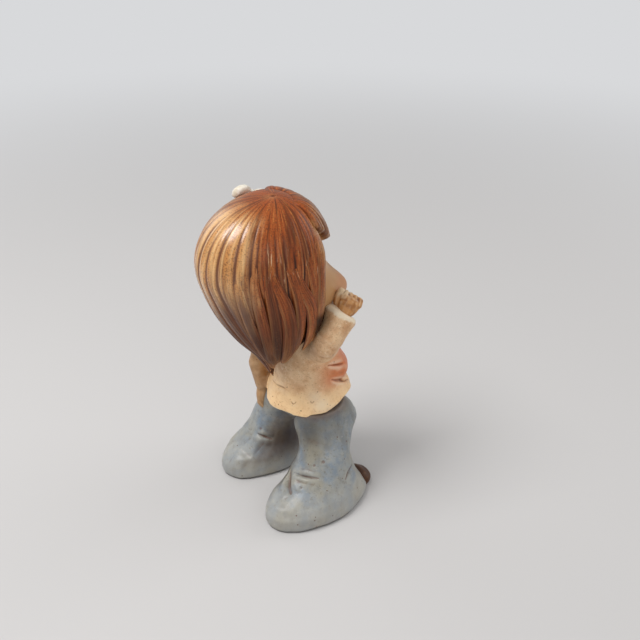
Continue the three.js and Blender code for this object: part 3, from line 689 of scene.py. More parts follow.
def lock_tree():
    """Geometry nodes: a flattened and combed lock of hair along each path of a mesh."""
    tree = bpy.data.node_groups.new("combed_locks", "GeometryNodeTree")
    inputs = {
        "Paths": "Geometry", "Thickness": "Float", "Strands": "Float",
        "Groove": "Float", "Seed": "Float", "Finish": "Material",
    }
    for name, kind in inputs.items():
        tree.interface.new_socket(name, in_out="INPUT", socket_type=f"NodeSocket{kind}")
    tree.interface.new_socket("Locks", in_out="OUTPUT", socket_type="NodeSocketGeometry")
    nodes = Nodes(tree)
    add, maths = nodes.add, nodes.maths
    given = {name: add("NodeGroupInput", output=name) for name in inputs}

    def named(name, kind="FLOAT"):
        return add("GeometryNodeInputNamedAttribute", {"data_type": kind}, {"Name": name})

    def store(form, name, value, kind="FLOAT"):
        sockets = {"Geometry": form, "Name": name, "Value": value}
        return add("GeometryNodeStoreNamedAttribute", {"data_type": kind}, sockets)

    path = add("GeometryNodeMeshToCurve", {}, {"Mesh": given["Paths"]})
    path = add("GeometryNodeSetCurveNormal", {"mode": "FREE"}, {
        "Curve": path, "Normal": named("out", "FLOAT_VECTOR"),
    })
    path = store(path, "down", add("GeometryNodeSplineParameter", output="Length"))
    path = store(path, "way", add("GeometryNodeSplineParameter", output="Factor"))
    ring = add("GeometryNodeCurvePrimitiveCircle", {}, {"Resolution": 44, "Radius": 1.0})
    spot = add("GeometryNodeInputPosition")
    ring = store(ring, "across", add("ShaderNodeSeparateXYZ", {}, {0: spot}, "Y"))
    ring = store(ring, "facing", add("ShaderNodeSeparateXYZ", {}, {0: spot}, "X"))
    flat = add("ShaderNodeCombineXYZ", {}, {0: given["Thickness"], 1: 1.0, 2: 1.0})
    ring = add("GeometryNodeTransform", {}, {"Geometry": ring, "Scale": flat})
    form = add("GeometryNodeCurveToMesh", {}, {
        "Curve": path, "Profile Curve": ring, "Scale": named("half"), "Fill Caps": True,
    })

    # Grooves between the strands of a lock, on the side that shows
    across, down, way, lock = (named(n) for n in ("across", "down", "way", "lock"))
    spread = add("ShaderNodeCombineXYZ", {}, {0: across, 1: down * 60, 2: lock * 7})
    wander = add("ShaderNodeTexNoise", {}, {"Vector": spread, "Scale": 1.0})
    phase = across * given["Strands"] * 1.57 + wander * 5 + given["Seed"]
    ridge = maths("ABSOLUTE", maths("SINE", phase))
    top = maths("GREATER_THAN", named("facing"), 0.05)
    cut = (1 - ridge) ** 1.4 * top
    normal = add("GeometryNodeInputNormal")
    dip = cut * given["Groove"] * -1
    shift = add("ShaderNodeVectorMath", {"operation": "SCALE"}, {0: normal, 3: dip})
    form = add("GeometryNodeSetPosition", {}, {"Geometry": form, "Offset": shift})

    # Wash in the grooves and under the edges, wear on the tips and along one edge
    edge = maths("ABSOLUTE", across) ** 6
    form = store(form, "wash", maths("MAXIMUM", cut * 0.65, edge * 0.7 + (1 - top) * 0.7))
    tip = maths("MINIMUM", way ** 5, 1.0)
    rubbed = maths("MAXIMUM", 1 - maths("ABSOLUTE", across - 0.6) * 4.5, 0.0)
    rubbed = rubbed * maths("MINIMUM", way * 2, 1.0)
    form = store(form, "wear", (ridge ** 4 * 0.2 + tip * 0.7 + rubbed * 0.75) * top)
    aside = across * named("half") * 1000 + lock * 17
    marks = add("ShaderNodeCombineXYZ", {}, {0: aside, 1: 0.0, 2: down * 70})
    form = store(form, "comb", marks, "FLOAT_VECTOR")
    form = add("GeometryNodeRealizeInstances", {}, {"Geometry": form})
    form = add("GeometryNodeSetMaterial", {}, {"Geometry": form, "Material": given["Finish"]})
    add("NodeGroupOutput", {}, {"Locks": form})
    return tree


def swept(name, paths, tree, **inputs):
    """A plain mesh of locks. Each path is its points, the way out, and half its width."""
    spots, outs, halves = (np.concatenate(part) for part in zip(*paths))
    counts = [len(half) for _, _, half in paths]
    starts = np.cumsum([0, *counts[:-1]])
    edges = [(s + i, s + i + 1) for s, n in zip(starts, counts) for i in range(n - 1)]
    mesh = meshed(name, spots, edges, [])
    stamp(mesh, "out", outs)
    stamp(mesh, "half", halves * MM)
    stamp(mesh, "lock", np.repeat(np.arange(len(paths)), counts))
    piece = placed(name, mesh)
    sweep = piece.modifiers.new("locks", "NODES")
    sweep.node_group = tree
    for item in tree.interface.items_tree:
        if item.in_out == "INPUT" and item.name in inputs:
            sweep[item.identifier] = inputs[item.name]
    graph = bpy.context.evaluated_depsgraph_get()
    plain_mesh = bpy.data.meshes.new_from_object(piece.evaluated_get(graph))
    piece.modifiers.remove(sweep)
    piece.data = plain_mesh
    plain_mesh.shade_smooth()
    return piece


def lock_path(marks, half, rise, flip):
    """A lock on the hair: marks are its turns and heights, rise is that of its middle."""
    turn, height = through(marks, 10).T
    turn = np.radians(turn if flip > 0 else 180 - turn)
    reach = reach_to(height)
    t = np.linspace(0, 1, len(turn))
    taper = np.sqrt(np.clip(t / 0.35, 0.01, 1)) * np.sqrt(np.clip((1 - t) / 0.2, 0.004, 1))
    lift = mix(rise[0], rise[1], t) - half * 0.3 * (1 - taper)
    spots = on_hair(turn, reach, lift)
    return spots, on_hair(turn, reach, lift + 1) - spots, half * taper


# Turn and height along each lock, half its width, and its rise at both ends
SIDE_LOCKS = [
    ([(128, 158), (127, 140), (126, 115), (125, 96), (125, 80)], 3.0, (-1.0, -0.2)),
    ([(139, 161), (139, 140), (138, 118), (135, 98), (132, 85)], 3.1, (-1.0, 0.5)),
    ([(147, 160), (149, 140), (149, 122), (146, 104), (141, 87)], 3.3, (-1.0, 0.1)),
    ([(146, 158), (155, 138), (160, 124), (159, 108), (151, 89)], 3.6, (-0.9, 1.5)),
    ([(158, 160), (165, 146), (170, 130), (170, 114), (164, 94)], 3.1, (-1.0, -0.3)),
    ([(165, 156), (172, 138), (181, 124), (183, 114), (177, 99)], 3.3, (-0.8, 1.2)),
    ([(177, 163), (180, 148), (188, 132), (190, 118), (187, 101)], 3.0, (-1.0, 0.0)),
]
FACE_LOCKS = [
    ([(215, 152), (213, 138), (212, 126), (209, 114), (205, 105)], 3.2, (-2.4, -2.2)),
    ([(206, 166), (203, 155), (198, 142), (197, 126), (190, 107)], 3.5, (-0.6, 1.2)),
    ([(211, 163), (210, 152), (206, 140), (203, 127), (198, 114)], 2.8, (-0.9, 0.3)),
    ([(195, 165), (192, 150), (191, 138), (192, 124), (186, 104)], 3.1, (-0.8, 0.3)),
]
CHEEK_LOCK = ([(219, 136), (220, 127), (220, 119), (218, 112), (214, 106)], 2.8, (-2.6, 0.4))


def locks(paint):
    tree = lock_tree()
    sizes = {"Thickness": 0.5, "Strands": 6.0, "Groove": 0.36 * MM, "Finish": paint}
    for side, flip in (("right", 1), ("left", -1)):
        face_locks = FACE_LOCKS + [CHEEK_LOCK] * (side == "right")
        paths = [lock_path(*lock, flip) for lock in face_locks]
        by_face = swept(f"{side}_face_locks", paths, tree, Seed=1.0 + flip, **sizes)
        seat(by_face, "hair", f"{side}_side_lock")
        paths = [lock_path(*lock, flip) for lock in SIDE_LOCKS]
        hanging = swept(f"{side}_hanging_locks", paths, tree, Seed=4.0 + flip, **sizes)
        seat(hanging, "hair")
    return tree


# Paints, with places in metres and colours in screen values

def hair_paint():
    paint = Paint("brushed_hair", (158, 76, 30))
    lay = paint.lay
    comb = paint.mark("comb", "Vector")
    x, y, z = paint.axes()
    patch = paint.grain(14, 3, seed=2) - 0.5
    streak = paint.grain(1.1, 3, 0.6, at=comb)
    broad = paint.grain(3.2, 2, 0.5, seed=7, at=comb)
    cloud = paint.grain(2.6, 3, 0.6, seed=37, at=comb)
    sheen_streak = paint.grain(0.7, 3, 0.6, seed=61, at=comb)
    stipple = paint.grain(0.8, 3, 0.7, seed=31)
    speck = paint.pits(1.3, 0.3, 0.3)

    # The back and the brow are gold, the sides are red brown: partly two-tone paint, and partly
    # painted light, since the gold back is the side that faces the lamp
    out = (x - HAIR_AXIS[0] * MM) * 0.66
    behind = (y - HAIR_AXIS[1] * MM) * 0.75 + (z - 0.145) * 0.06
    side = paint.maths("MINIMUM", behind + out, behind - out + 0.004)
    side = paint.maths("MAXIMUM", side, -0.001 - y)
    gold_and_lit_side = (side + patch * 0.014).above(0.001, 0.012) * (z + patch * 0.006).below(0.1665, 0.1735)
    brow = gold_and_lit_side * y.below(-0.008, -0.003)
    ends = (z + patch * 0.02).below(0.096, 0.118) * (1 - gold_and_lit_side)
    # Lower back of the hair darker: partly brown wash, partly painted shade where it faces down
    low = (z + patch * 0.012).below(0.104, 0.140) * y.above(0.006, 0.014)
    border = side.below(0.017, 0.027) * z.below(0.124, 0.144) * gold_and_lit_side
    # Painted highlight: a band of satin sheen high on the red-brown side
    sheen_band = z.above(0.137, 0.146) * z.below(0.154, 0.163) * (1 - gold_and_lit_side)
    # Painted shadow in the hollow between the hair and the sleeve
    shadow_pocket = (z + patch * 0.004).below(0.116, 0.124) * z.above(0.103, 0.109)
    shadow_pocket = shadow_pocket * y.below(-0.0015, 0.0015) * x.below(-0.001, 0.001)
    bare = broad.below(0.40, 0.53) * 0.3
    # Pale gold mottling on the ridges, partly a painted highlight
    light = cloud.above(0.42, 0.7) * gold_and_lit_side * (1 - low) * (1 - border) * (1 - brow * 0.6)
    wash = (paint.wash + (streak + stipple - 1) * 0.3).above(0.1, 0.9)

    lay((200, 138, 74), gold_and_lit_side)
    lay((104, 54, 25), brow * 0.88)
    lay((82, 34, 15), broad.above(0.48, 0.64) * (1 - gold_and_lit_side * 0.6) * 0.8)
    lay((190, 132, 84), ends * broad.below(0.4, 0.56) * 0.7)
    lay((212, 136, 66), streak.above(0.54, 0.7) * 0.5)
    lay((66, 27, 11), (1 - streak).above(0.53, 0.7) * (0.8 - gold_and_lit_side * 0.35))
    # Painted shade, partly wash, over the lower back
    lay((54, 22, 9), low * (0.97 - bare))
    lay((74, 33, 14), border * (0.9 - bare))
    lay((98, 50, 22), stipple.above(0.5, 0.62) * 0.7)
    # Pale gold mottling, partly a painted highlight
    lay((248, 204, 144), light * 0.7)
    # Painted highlight: pale streaks of sheen in that band
    lay((228, 192, 152), sheen_streak.above(0.6, 0.72) * sheen_band * 0.8)
    lay((208, 150, 92), paint.wear * (0.6 - low * 0.4) * (1 - brow * 0.45))
    lay(paint.over((92, 40, 16), (124, 68, 34), gold_and_lit_side), wash * 0.85)
    lay((44, 21, 11), paint.wash.above(0.55, 0.95) * (0.85 - gold_and_lit_side * 0.5))
    # Painted shadow in that hollow
    lay((30, 13, 7), shadow_pocket * 0.92)
    lay((96, 55, 30), speck * 0.6)
    rough = (streak + wash + low) * 0.2 + 0.22
    coat = (gold_and_lit_side * 0.9 + 0.1) * (1 - low * 0.9) * (1 - shadow_pocket)
    height = streak * 0.6 + paint.grain(0.7, 2, seed=4) * 0.3 - speck * 0.5
    return paint.finish(rough, coat, 0.24, height, 0.16)


def glazed(paint, wash_tint, rough, coat, wash_share=0.85, seed=0.0, specks=0.06):
    """Ends a matt cold paint with mottling, wash in the hollows, pits and a thin varnish."""
    mottle = paint.grain(3.0, 5, 0.65, seed)
    dirty = (paint.wash + (mottle - 0.5) * 0.25).above(0.1, 0.9)
    speck = paint.pits(1.9, specks, seed)
    paint.lay(wash_tint, dirty * wash_share)
    paint.lay(wash_tint, speck * 0.75)
    height = mottle * 0.5 + paint.grain(0.6, 2, seed=seed + 3) * 0.25 - speck
    return paint.finish((mottle - 0.5) * 0.15 + rough, coat, 0.3, height, 0.14)


def sweater_paint():
    paint = Paint("cream_sweater", (234, 198, 156))
    lay = paint.lay
    x, y, z = paint.axes()
    cloud = paint.grain(9, 4, 0.6)
    uneven = cloud - 0.5
    fine = paint.grain(2.4, 4, 0.7, 51)
    dust = paint.grain(0.9, 3, 0.7, 53)
    dots = paint.grain(1.3, 2, 0.5, 71)

    # A shaded waist behind, an orange band on the belly, a pale hem and a pale cuff
    shade = (z + uneven * 0.014).above(0.064, 0.088) * y.above(-0.010, 0.004)
    level = (z - 0.073) / 0.012
    around = (x - MIDDLE * MM) / 0.026
    away = level * level + around * around * around * around + uneven * 1.1
    blush = away.below(0.1, 1.4) * y.below(-0.019, -0.006)
    low = (z - y * 0.12 + uneven * 0.014).below(0.055, 0.074)
    arm_wash_and_shade = (paint.mark("tone") + uneven * 0.4).above(0.3, 0.7)
    beyond = z * 0.867 - x * 0.137 - y * 0.48 + (fine - 0.5) * 0.003
    rim = beyond.above(0.1098, 0.1110)

    lay((212, 164, 120), cloud.above(0.38, 0.72))
    lay((166, 112, 70), fine.above(0.54, 0.76) * 0.35)
    lay((146, 96, 58), dust.above(0.53, 0.68) * 0.45)
    lay((172, 132, 92), shade * z.below(0.094, 0.104) * 0.6)
    lay((246, 224, 190), fine.below(0.28, 0.46) * 0.5)
    lay((204, 102, 42), blush * 0.92)
    lay((255, 216, 164), low * 0.95)
    lay((226, 176, 124), low * fine.above(0.5, 0.7) * 0.6)
    lay((158, 100, 56), dots.above(0.66, 0.74) * (low * 0.5 + 0.3))
    # The hanging arm: darker tan, partly a browner wash and partly painted shade
    lay(paint.over((190, 150, 108), (154, 114, 74), cloud.above(0.35, 0.65)), arm_wash_and_shade)
    lay((240, 226, 200), rim * 0.8)
    # Pale where rubbed, and a painted highlight on the hem by her right hip
    lay((255, 240, 212), paint.wear * 0.6)
    return glazed(paint, (116, 56, 30), 0.42, 0.2)


def denim_paint():
    paint = Paint("blue_grey_denim", (126, 139, 152))
    lay = paint.lay
    z = paint.axes()[2]
    cloud = paint.grain(11, 5, 0.62, 5)
    patch = paint.grain(17, 3, 0.6, 11)
    fleck = paint.grain(2.2, 4, 0.7, 17)
    brushed = paint.grain(5, 3, 0.6, 47, stretch=(1, 1, 0.3))
    lay((162, 162, 156), cloud.above(0.34, 0.66))
    lay((156, 146, 120), patch.above(0.42, 0.68) * 0.6)
    lay((118, 120, 122), brushed.above(0.46, 0.7) * 0.5)
    lay((104, 103, 98), cloud.above(0.54, 0.8) * 0.5)
    lay((108, 100, 86), fleck.below(0.32, 0.46) * 0.5)
    lay((196, 192, 180), fleck.above(0.58, 0.76) * 0.45)
    lay((188, 184, 174), (z + (patch - 0.5) * 0.01).below(0.008, 0.022) * 0.45)
    # Painted shade: darker towards the top, under the sweater hem
    lay((94, 90, 82), (z + (patch - 0.5) * 0.02).above(0.030, 0.056) * 0.5)
    lay((190, 186, 174), paint.wear * 0.35)
    # Painted shade on the inner sides and under the hem
    lay((58, 53, 48), paint.mark("tone") * 0.75)
    # Painted shade where the bell bottoms meet the floor
    lay((52, 46, 38), z.below(0.0002, 0.0022))
    return glazed(paint, (96, 56, 38), 0.4, 0.25, 0.8, 3)


def skin_paint():
    paint = Paint("doll_skin", (202, 156, 108))
    lay = paint.lay
    x, y, z = paint.axes()
    front = (-0.010 - y).above(0.0, 0.003)
    across = paint.maths("ABSOLUTE", x - MIDDLE * MM)

    def spot(place, wide, level, high, soft):
        """An oval of paint on both sides of the middle, in millimetres."""
        u = (across - place * MM) / (wide * MM)
        v = (z - level * MM) / (high * MM)
        return (u * u + v * v).below(1 - soft, 1 + soft) * front

    arch = EYE_APART + 0.4
    lips = (174, 76, 58)
    pupil = EYE_APART - 0.1
    lay((182, 134, 88), paint.grain(7, 3, 0.5, 9))
    lay((206, 116, 84), spot(14, 7, 123.5, 5.5, 0.9) * 0.25)
    lay(lips, spot(0, 3.4, MOUTH_LEVEL + 0.7, 0.9, 0.4) * 0.75)
    lay(lips, spot(0, 2.5, MOUTH_LEVEL - 0.9, 1.3, 0.4) * 0.75)
    lay((230, 220, 200), spot(EYE_APART, 3.9, EYE_LEVEL, 3.5, 0.08))
    lay((50, 28, 18), spot(pupil, 2.8, EYE_LEVEL - 0.1, 3.5, 0.08))
    lay((112, 68, 38), spot(pupil, 2.2, EYE_LEVEL - 0.8, 2.5, 0.4))
    lay((24, 15, 12), spot(pupil, 1.3, EYE_LEVEL, 1.6, 0.15))
    # A painted highlight in each eye
    lay((250, 248, 240), spot(EYE_APART - 1.1, 0.7, EYE_LEVEL + 1.5, 0.8, 0.2))
    brow = spot(arch, 4.4, 142.2, 2.9, 0.12) * (1 - spot(arch, 4.9, 141.6, 2.8, 0.12))
    lay((112, 66, 38), brow * 0.75)
    return glazed(paint, (118, 72, 44), 0.42, 0.2, 0.7, 9, 0.01)


def hand_paint():
    paint = Paint("tan_hand", (202, 146, 90))
    paint.lay((168, 112, 64), paint.grain(3, 3, 0.5, 13).above(0.4, 0.65))
    # The hanging hand is duller and darker, like its arm: partly painted shade
    paint.lay((172, 134, 94), paint.axes()[2].below(0.058, 0.08) * 0.95)
    # Pale on worn ridges, and a painted highlight on the top of the right fist
    paint.lay((240, 218, 182), paint.wear)
    return glazed(paint, (84, 44, 22), 0.42, 0.15, 1, 13)


def ink_paint():
    paint = Paint("brush_ink", (62, 36, 24))
    paint.lay((44, 26, 18), paint.grain(1.2, 3, 0.5, 41))
    return glazed(paint, (30, 18, 12), 0.35, 0.3, 0.5, 41)


def shoe_paint():
    paint = Paint("brown_shoe", (88, 52, 28))
    paint.lay((56, 32, 18), paint.grain(3, 3, 0.5, 21))
    paint.lay((156, 112, 74), paint.wear * 0.6)
    return glazed(paint, (40, 26, 18), 0.45, 0.08, 0.8, 21)


def bow_paint():
    paint = Paint("glossy_bow", (244, 238, 224))
    paint.lay((226, 214, 190), paint.grain(4, 3, 0.5, 25).above(0.45, 0.7))
    return glazed(paint, (110, 80, 54), 0.16, 0.8, 0.75, 25)


# Cast pieces

# Path of each crease, then its depth, width, lip, stain and rub
DEEP_FOLD = (1.1, 2.0, 0.5, 0.25)
SOFT_FOLD = (0.9, 1.6, 0.4, 0.2)
NAIL_MARK = (0.35, 0.4, 0, 0.8)
LEG_CREASES = {
    "right": [
        ([(-18.9, 8.4, 22), (-24.6, 7.1, 23.1), (-28.5, 5.2, 23.6), (-32.5, 1.7, 23.6)],
         (1.3, 0.65, 0.5)),
        ([(-14.3, 6.9, 21.1), (-17.7, 10.8, 19.5), (-21.4, 14, 17.8), (-27.1, 16.5, 16.2)],
         (1.6, 1.2, 0.9, 0.8)),
        ([(-32.6, -19.7, 22.5), (-36, -14.8, 20.9), (-38, -10.6, 18.5)], (1.1, 1.4, 0.4, 0.2)),
        ([(-16.2, 0.2, 38.5), (-22.3, -1.7, 39.4), (-26.6, -6, 39.5)], (1.0, 2.6, 0.3, 0.45)),
    ],
    "left": [
        ([(20.5, 5, 23.3), (16, 3.1, 22.6), (12.3, -0.1, 21.2)], (1.2, 0.8, 0.5)),
        ([(23.1, 14.9, 15.3), (19, 14.4, 14.6), (14.8, 13.4, 13.1)], (0.7, 2.4, 0.5, 0.1)),
    ],
}
FOLDS_OF_BOTH_LEGS = [
    [(14, -30, 40), (20, -31, 36), (27, -27, 35)],
    [(18, -33, 26), (24, -35, 23), (31, -33, 22)],
    [(37, -14, 30), (38, -22, 26), (36, -30, 20)],
    [(5, -22, 44), (9, -27, 40), (13, -30, 36)],
]
SWEATER_CREASES = [
    ([(-17.4, -15.3, 80.3), (-16.8, -21.7, 77.7), (-13.5, -30.4, 73.8)], (1.5, 0.9, 0.3)),
    ([(-18.6, -17, 71.5), (-17, -23, 67.5), (-14.5, -29, 63.5), (-11, -36, 59)], (1.7, 1.0, 0.3)),
    ([(10.3, -0.1, 64), (4.4, 0.4, 63.7), (-1, 0.5, 64.8), (-5.2, -0.5, 65)], (0.8, 0.9, 0.2, 0.6)),
    ([(17.5, -12, 88), (16, -22, 83), (11, -31, 79)], SOFT_FOLD),
    ([(18.5, -18, 74), (16, -27, 69), (12, -35, 66)], SOFT_FOLD),
    ([(-14, -6, 92), (-19, -10, 89), (-22, -14, 92)], SOFT_FOLD),
    ([(-25, -2, 94), (-30, -6, 93), (-32, -12, 96)], SOFT_FOLD),
    ([(-7.8, 1.6, 60.4), (-9.2, 1.0, 58.6), (-10.8, -0.6, 60.4)], NAIL_MARK),
    ([(-15.7, -5.2, 61.6), (-16.3, -6.1, 60.1), (-17.1, -7.5, 61.6)], NAIL_MARK),
    # A raised ridge on the hem, with a painted highlight laid as rub
    ([(-19, -15.1, 61.2), (-19, -11, 58.2), (-18.7, -6.6, 55.7)], (-0.5, 2.0, 0, 0, 0.7)),
]

# Place of each dent, then its radius, height, stain and rub
LEG_DENTS = {
    "right": [
        ((-27.6, 1.6, 29.1), 0.7, -0.5, 0, 1),
        ((-30.4, -2.4, 31.2), 0.7, -0.5, 0, 1),
        ((-28.3, 10.9, 19.3), 0.7, -0.5, 0, 1),
        ((-20.4, -31.3, 46.1), 0.5, -0.3, 1),
        ((-22.6, -31.5, 42.5), 0.5, -0.3, 1),
        ((-33, -21, 33), 0.5, -0.3, 1),
    ],
    "left": [((19.3, 2.8, 26), 1.4, -0.5, 0.3)],
}
ARMPITS = [(-14, -12, 93), (-15, -16, 86), (17, -10, 90)]
NEAR_FOREARM = (-25, -16, 107.5)
FAR_WRIST = (24, -2, 54)


def trouser_leg(side, paint):
    node = f"{side}_trouser_leg"
    flip = -1 if side == "right" else 1
    leg = skin([casting(node, 0.2)], 0.5, 22)
    for path, cut in LEG_CREASES[side]:
        leg.crease(path, *cut)
    for dent in LEG_DENTS[side]:
        leg.swell(*dent)
    for fold in FOLDS_OF_BOTH_LEGS:
        leg.crease([(x * flip, y, z) for x, y, z in fold], *DEEP_FOLD)
    z = leg.points[:, 2]
    # Painted shade, partly laid as wash: the inner side of each leg, the top under the hem and a
    # patch under the hem of the near leg are darker
    inner = ease(-flip * leg.normals()[:, 0], 0.15, 0.95) * ease(z, 1, 14)
    leg.stained(np.maximum(0.4 * inner, 0.5 * ease(z, 47, 53)), 0)
    leg.tone = inner * ease(z, 2, 20) * (1 - 0.65 * ease(z, 22, 36))
    if side == "right":
        leg.tone = np.maximum(leg.tone, 0.75 * bell(leg.away((-18.5, -1, 44)), 8.5))
    leg.wobble(13, 0.8, 4)
    leg.wobble(5, 0.22, 8)
    leg.points[:, 2] = np.maximum(leg.points[:, 2], 0)
    leg.weathered()
    leg.piece(f"{side}_bell_bottom", paint, "denim", node)


def sweater(paint):
    nodes = [
        "sweater_body", "sweater_hem", "collar", "right_sleeve", "left_sleeve",
        "right_cuff", "left_cuff",
    ]
    castings = [casting(n, 0.22) for n in nodes]
    castings.append(casting("hips", 0.3, low=57))
    castings.append(casting("neck", 0.3, high=100))
    knit = skin(castings, 0.45, 26)
    height = knit.points[:, 2]
    waist = bell(height - 66, 6) * (knit.points[:, 0] < 27)
    knit.soften(140, np.clip(waist + sum(bell(knit.away(at), 9) for at in ARMPITS), 0, 1))
    knit.soften(50, (1 - ease(knit.away(NEAR_FOREARM), 7, 11)) * (height < 111))

    # The hanging arm is painted darker, partly a browner wash and partly painted shade, so its
    # points are found
    for node in ("left_sleeve", "left_cuff"):
        spots, triangles = casting(node, 0.2)
        tree = BVHTree.FromPolygons(spots.tolist(), triangles.tolist())
        close = np.nonzero((knit.points[:, 0] > 12) & (height < 96))[0]
        away = np.array([tree.find_nearest(p)[3] for p in knit.points[close].tolist()])
        arm_wash_and_shade = (1 - ease(away, 0.8, 2.2)) * (1 - ease(height[close], 82, 94))
        knit.tone[close] = np.maximum(knit.tone[close], arm_wash_and_shade)

    # The hem lifts in front. Its tip, the belly and the cuff by the cheek are fuller
    front = ease(-knit.points[:, 1], 11, 27) * (1 - ease(height, 54, 64))
    knit.points[:, 2] += 3.6 * front
    knit.swell((-17.5, -34, 61), 3.6, 2.6)
    knit.swell((-15, -28, 70), 6, 1.7)
    knit.swell((-19.5, -13.5, 116), 4.5, 1.9)
    knit.soften(120, 1 - ease(knit.away(FAR_WRIST), 7, 12))
    for path, cut in SWEATER_CREASES:
        knit.crease(path, *cut)
    # A painted highlight on the hem by her right hip, laid as wear
    knit.swell((-19, -10, 58.5), 4.5, 0, 0, 0.8)
    knit.wobble(11, 0.7, 6)
    knit.wobble(5, 0.2, 9)
    knit.weathered()
    knit.piece("sweater", paint, "sweater", *nodes)


def head(paint):
    """The head and the neck, with a plain doll's face. Returns front() for its lines."""
    face = skin([casting("head", 0.1), casting("neck", 0.3, low=93)], 0.42, 40)

    def front(x, z):
        """The point of the face that lies straight behind a place on a drawing of it."""
        near = np.abs(face.points[:, ::2] - (x, z)).max(1) < 0.6
        return np.array([x, face.points[near & (face.points[:, 1] < -8), 1].mean(), z])

    def lift(dx, z, radius, height):
        face.swell(front(MIDDLE + dx, z), radius, height)

    for side, cheek in ((-1, 1.1), (1, -1.3)):
        eye = front(MIDDLE + side * EYE_APART, EYE_LEVEL)
        face.swell(eye, 5.2, -1.4)
        face.swell(eye + (0, -1, -0.3), 3.3, 1.2)
        lift(side * 12.5, 122, 6.5, cheek)
        lid = [
            front(eye[0] + side * dx, EYE_LEVEL + dz)
            for dx, dz in ((-3.6, 1.8), (-1.6, 3.9), (1.2, 4.2), (3.8, 2.4))
        ]
        face.crease(lid, 0.35, 0.5, 0, 0.6)
    lift(0, 120, 9, -3.2)
    lift(0, NOSE_LEVEL, 2.6, 1.5)
    lift(-1.9, NOSE_LEVEL - 1, 1.2, 0.5)
    lift(1.9, NOSE_LEVEL - 1, 1.2, 0.5)
    lift(0, MOUTH_LEVEL + 1.1, 1.5, 0.5)
    lift(0, MOUTH_LEVEL - 1.3, 1.9, 0.9)
    lift(0, 112.5, 4.0, 0.9)
    smile = [
        front(MIDDLE + dx, MOUTH_LEVEL + dz)
        for dx, dz in ((-4.6, 1.5), (-2.4, 0.1), (0, -0.3), (2.4, 0.1), (4.6, 1.5))
    ]
    face.crease(smile, 0.6, 0.5, 0, 0.9)
    face.weathered()
    face.piece("doll_head", paint, "skin", "head", "neck")
    return front


# Places along each line from the middle of an eye, and half the width of the brush stroke
EYE_STROKES = [
    (((-3.7, 0.3), (-2.0, 2.7), (0.5, 3.4), (3.0, 2.2), (4.2, 0.4)), 0.55),
    (((3.0, -2.0), (0.8, -3.4), (-1.8, -2.8)), 0.16),
    (((3.6, 1.5), (4.6, 2.1), (5.5, 3.1)), 0.24),
    (((3.9, 0.6), (5.1, 0.9), (6.2, 1.6)), 0.24),
    (((2.8, 2.5), (3.6, 3.3), (4.2, 4.4)), 0.2),
]


def eye_lines(front, tree, finish):
    """The lids and the lashes, laid on in thick slip with a fine brush."""
    paths = []
    for side in (-1, 1):
        for marks, half in EYE_STROKES:
            marks = [(MIDDLE + side * (EYE_APART + dx), EYE_LEVEL + dz) for dx, dz in marks]
            spots = np.array([front(x, z) for x, z in through(marks, 6)])
            for _ in range(3):
                spots[1:-1, 1] = (spots[:-2, 1] + spots[2:, 1]) / 2
            spots[:, 1] -= 0.02
            t = np.linspace(0.12, 0.97, len(spots))
            out = np.tile([0, -1.0, 0.25], (len(t), 1))
            paths.append((spots, out, half * np.sin(np.pi * t)))
    lines = swept(
        "eye_lines", paths, tree, Finish=finish, Thickness=0.45, Strands=1.0, Groove=0.0,
    )
    seat(lines, "hair")


def hand(side, paint):
    node = f"{side}_hand"
    grown, rounds = (0.3, 14) if side == "right" else (1.0, 40)
    fist = skin([casting(node, grown)], 0.26, rounds)
    if side == "right":
        # A painted highlight on the top of the knuckles, laid as wear
        fist.wear = 0.7 * ease(fist.points[:, 2] + 2 * lumps(fist.points, 2), 121, 124.5)
    fist.weathered(6, 0.08, 1)
    fist.piece(f"{side}_fist", paint, "skin", node)


def plain_cast(name, slot, paint, nodes, grow, voxel, rounds, weather):
    """A piece that needs no more than the softened skin of its castings."""
    form = skin([casting(n, grow) for n in nodes], voxel, rounds)
    form.points[:, 2] = np.maximum(form.points[:, 2], 0)
    form.weathered(*weather)
    form.piece(name, paint, slot, *nodes)


hair_finish = hair_paint()
back_hair(hair_finish)
fringe(hair_finish)
lock_form = locks(hair_finish)
sweater(sweater_paint())
face_front = head(skin_paint())
eye_lines(face_front, lock_form, ink_paint())
denim = denim_paint()
plain_cast(
    "trouser_seat", "denim", denim, ["hips"],
    grow=0.15, voxel=0.5, rounds=14, weather=(8, 0.1, 0.6),
)
plain_cast(
    "bow", "bow", bow_paint(), ["bow_knot", "bow_back_loop", "bow_front_loop"],
    grow=0.18, voxel=0.24, rounds=8, weather=(5, 0.08, 1),
)
tan = hand_paint()
brown = shoe_paint()
for side in ("right", "left"):
    trouser_leg(side, denim)
    plain_cast(
        f"{side}_toe", "shoe", brown, [f"{side}_shoe"],
        grow=0.1, voxel=0.35, rounds=14, weather=(6, 0.1, 1),
    )
    hand(side, tan)


# Floor, light and camera

BACKDROP = colour(216, 217, 219)
FLOOR_REACH = 4.0
CAMERA_PLACE = (-0.28500, 0.20606, 0.30803)
CAMERA_LOOK = (0.673, -0.545, -0.5)

# Name of each lamp, the way to it from her, its distance, size and power
LAMPS = [
    ("window", (0.125, 0.494, 0.862), 0.9, 0.4, 5.5),
    ("front_fill", (-0.3, -0.85, 0.45), 1.0, 0.7, 2.3),
    ("side_fill", (-0.85, 0.25, 0.35), 1.1, 0.7, 1.2),
    ("far_fill", (0.9, 0.1, 0.4), 1.1, 0.7, 1.2),
]


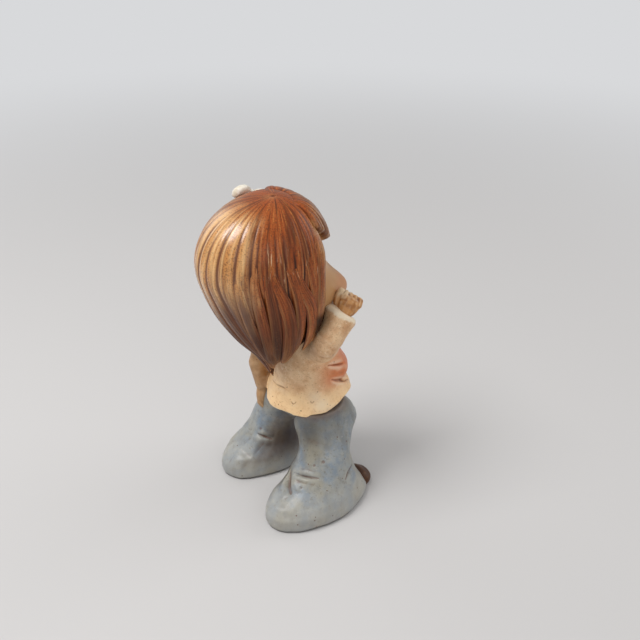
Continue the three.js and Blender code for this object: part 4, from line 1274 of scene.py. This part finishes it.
def floor_paint():
    """Pale paper, which far away takes the colour of the backdrop."""
    paper = (206, 204, 203)
    paint = Paint("pale_paper", paper)
    x, y, _ = paint.axes()
    away = (x * x + y * y) ** 0.5
    shader = paint.add("ShaderNodeBsdfPrincipled", {}, {
        "Base Color": colour(*paper), "Roughness": 0.8,
    })
    far = paint.add("ShaderNodeEmission", {}, {"Color": BACKDROP, "Strength": 1.0})
    seen = paint.add("ShaderNodeLightPath", output="Is Camera Ray")
    sockets = {0: away.above(0.25, 1.1) * seen, 1: shader, 2: far}
    both = paint.add("ShaderNodeMixShader", {}, sockets)
    paint.add("ShaderNodeOutputMaterial", {}, {"Surface": both})
    return paint.material


def studio():
    floor_mesh = bpy.data.meshes.new("floor")
    square = ((-1, -1), (1, -1), (1, 1), (-1, 1))
    corners = [(FLOOR_REACH * x, FLOOR_REACH * y, 0) for x, y in square]
    floor_mesh.from_pydata(corners, [], [(0, 1, 2, 3)])
    floor_mesh.materials.append(floor_paint())
    floor = placed("floor", floor_mesh)
    world = bpy.data.worlds.new("pale_room")
    bpy.context.scene.world = world
    world.use_nodes = True
    nodes = Nodes(world.node_tree)
    sky = nodes.add("ShaderNodeBackground", {}, {"Color": (1, 1, 1, 1), "Strength": 0.44})
    seen = nodes.add("ShaderNodeBackground", {}, {"Color": BACKDROP, "Strength": 1.0})
    camera_ray = nodes.add("ShaderNodeLightPath", output="Is Camera Ray")
    shown = nodes.add("ShaderNodeMixShader", {}, {0: camera_ray, 1: sky, 2: seen})
    nodes.add("ShaderNodeOutputWorld", {}, {"Surface": shown})
    for name, towards, away, size, power in LAMPS:
        light = bpy.data.lights.new(name, "AREA")
        light.size = size
        light.energy = power
        lamp = placed(name, light)
        direction = Vector(towards).normalized()
        lamp.location = Vector((0, 0, 0.1)) + direction * away
        lamp.rotation_mode = "QUATERNION"
        lamp.rotation_quaternion = direction.to_track_quat("Z", "Y")


def photographer():
    """The camera behind her right shoulder, looking down."""
    lens = bpy.data.cameras.new("camera")
    lens.lens = 45
    lens.sensor_width = 36
    lens.clip_start = 0.01
    camera = placed("camera", lens)
    camera.location = CAMERA_PLACE
    camera.rotation_mode = "QUATERNION"
    camera.rotation_quaternion = Vector(CAMERA_LOOK).to_track_quat("-Z", "Y")
    bpy.context.scene.camera = camera


studio()
photographer()
bpy.context.scene.view_settings.view_transform = "Standard"
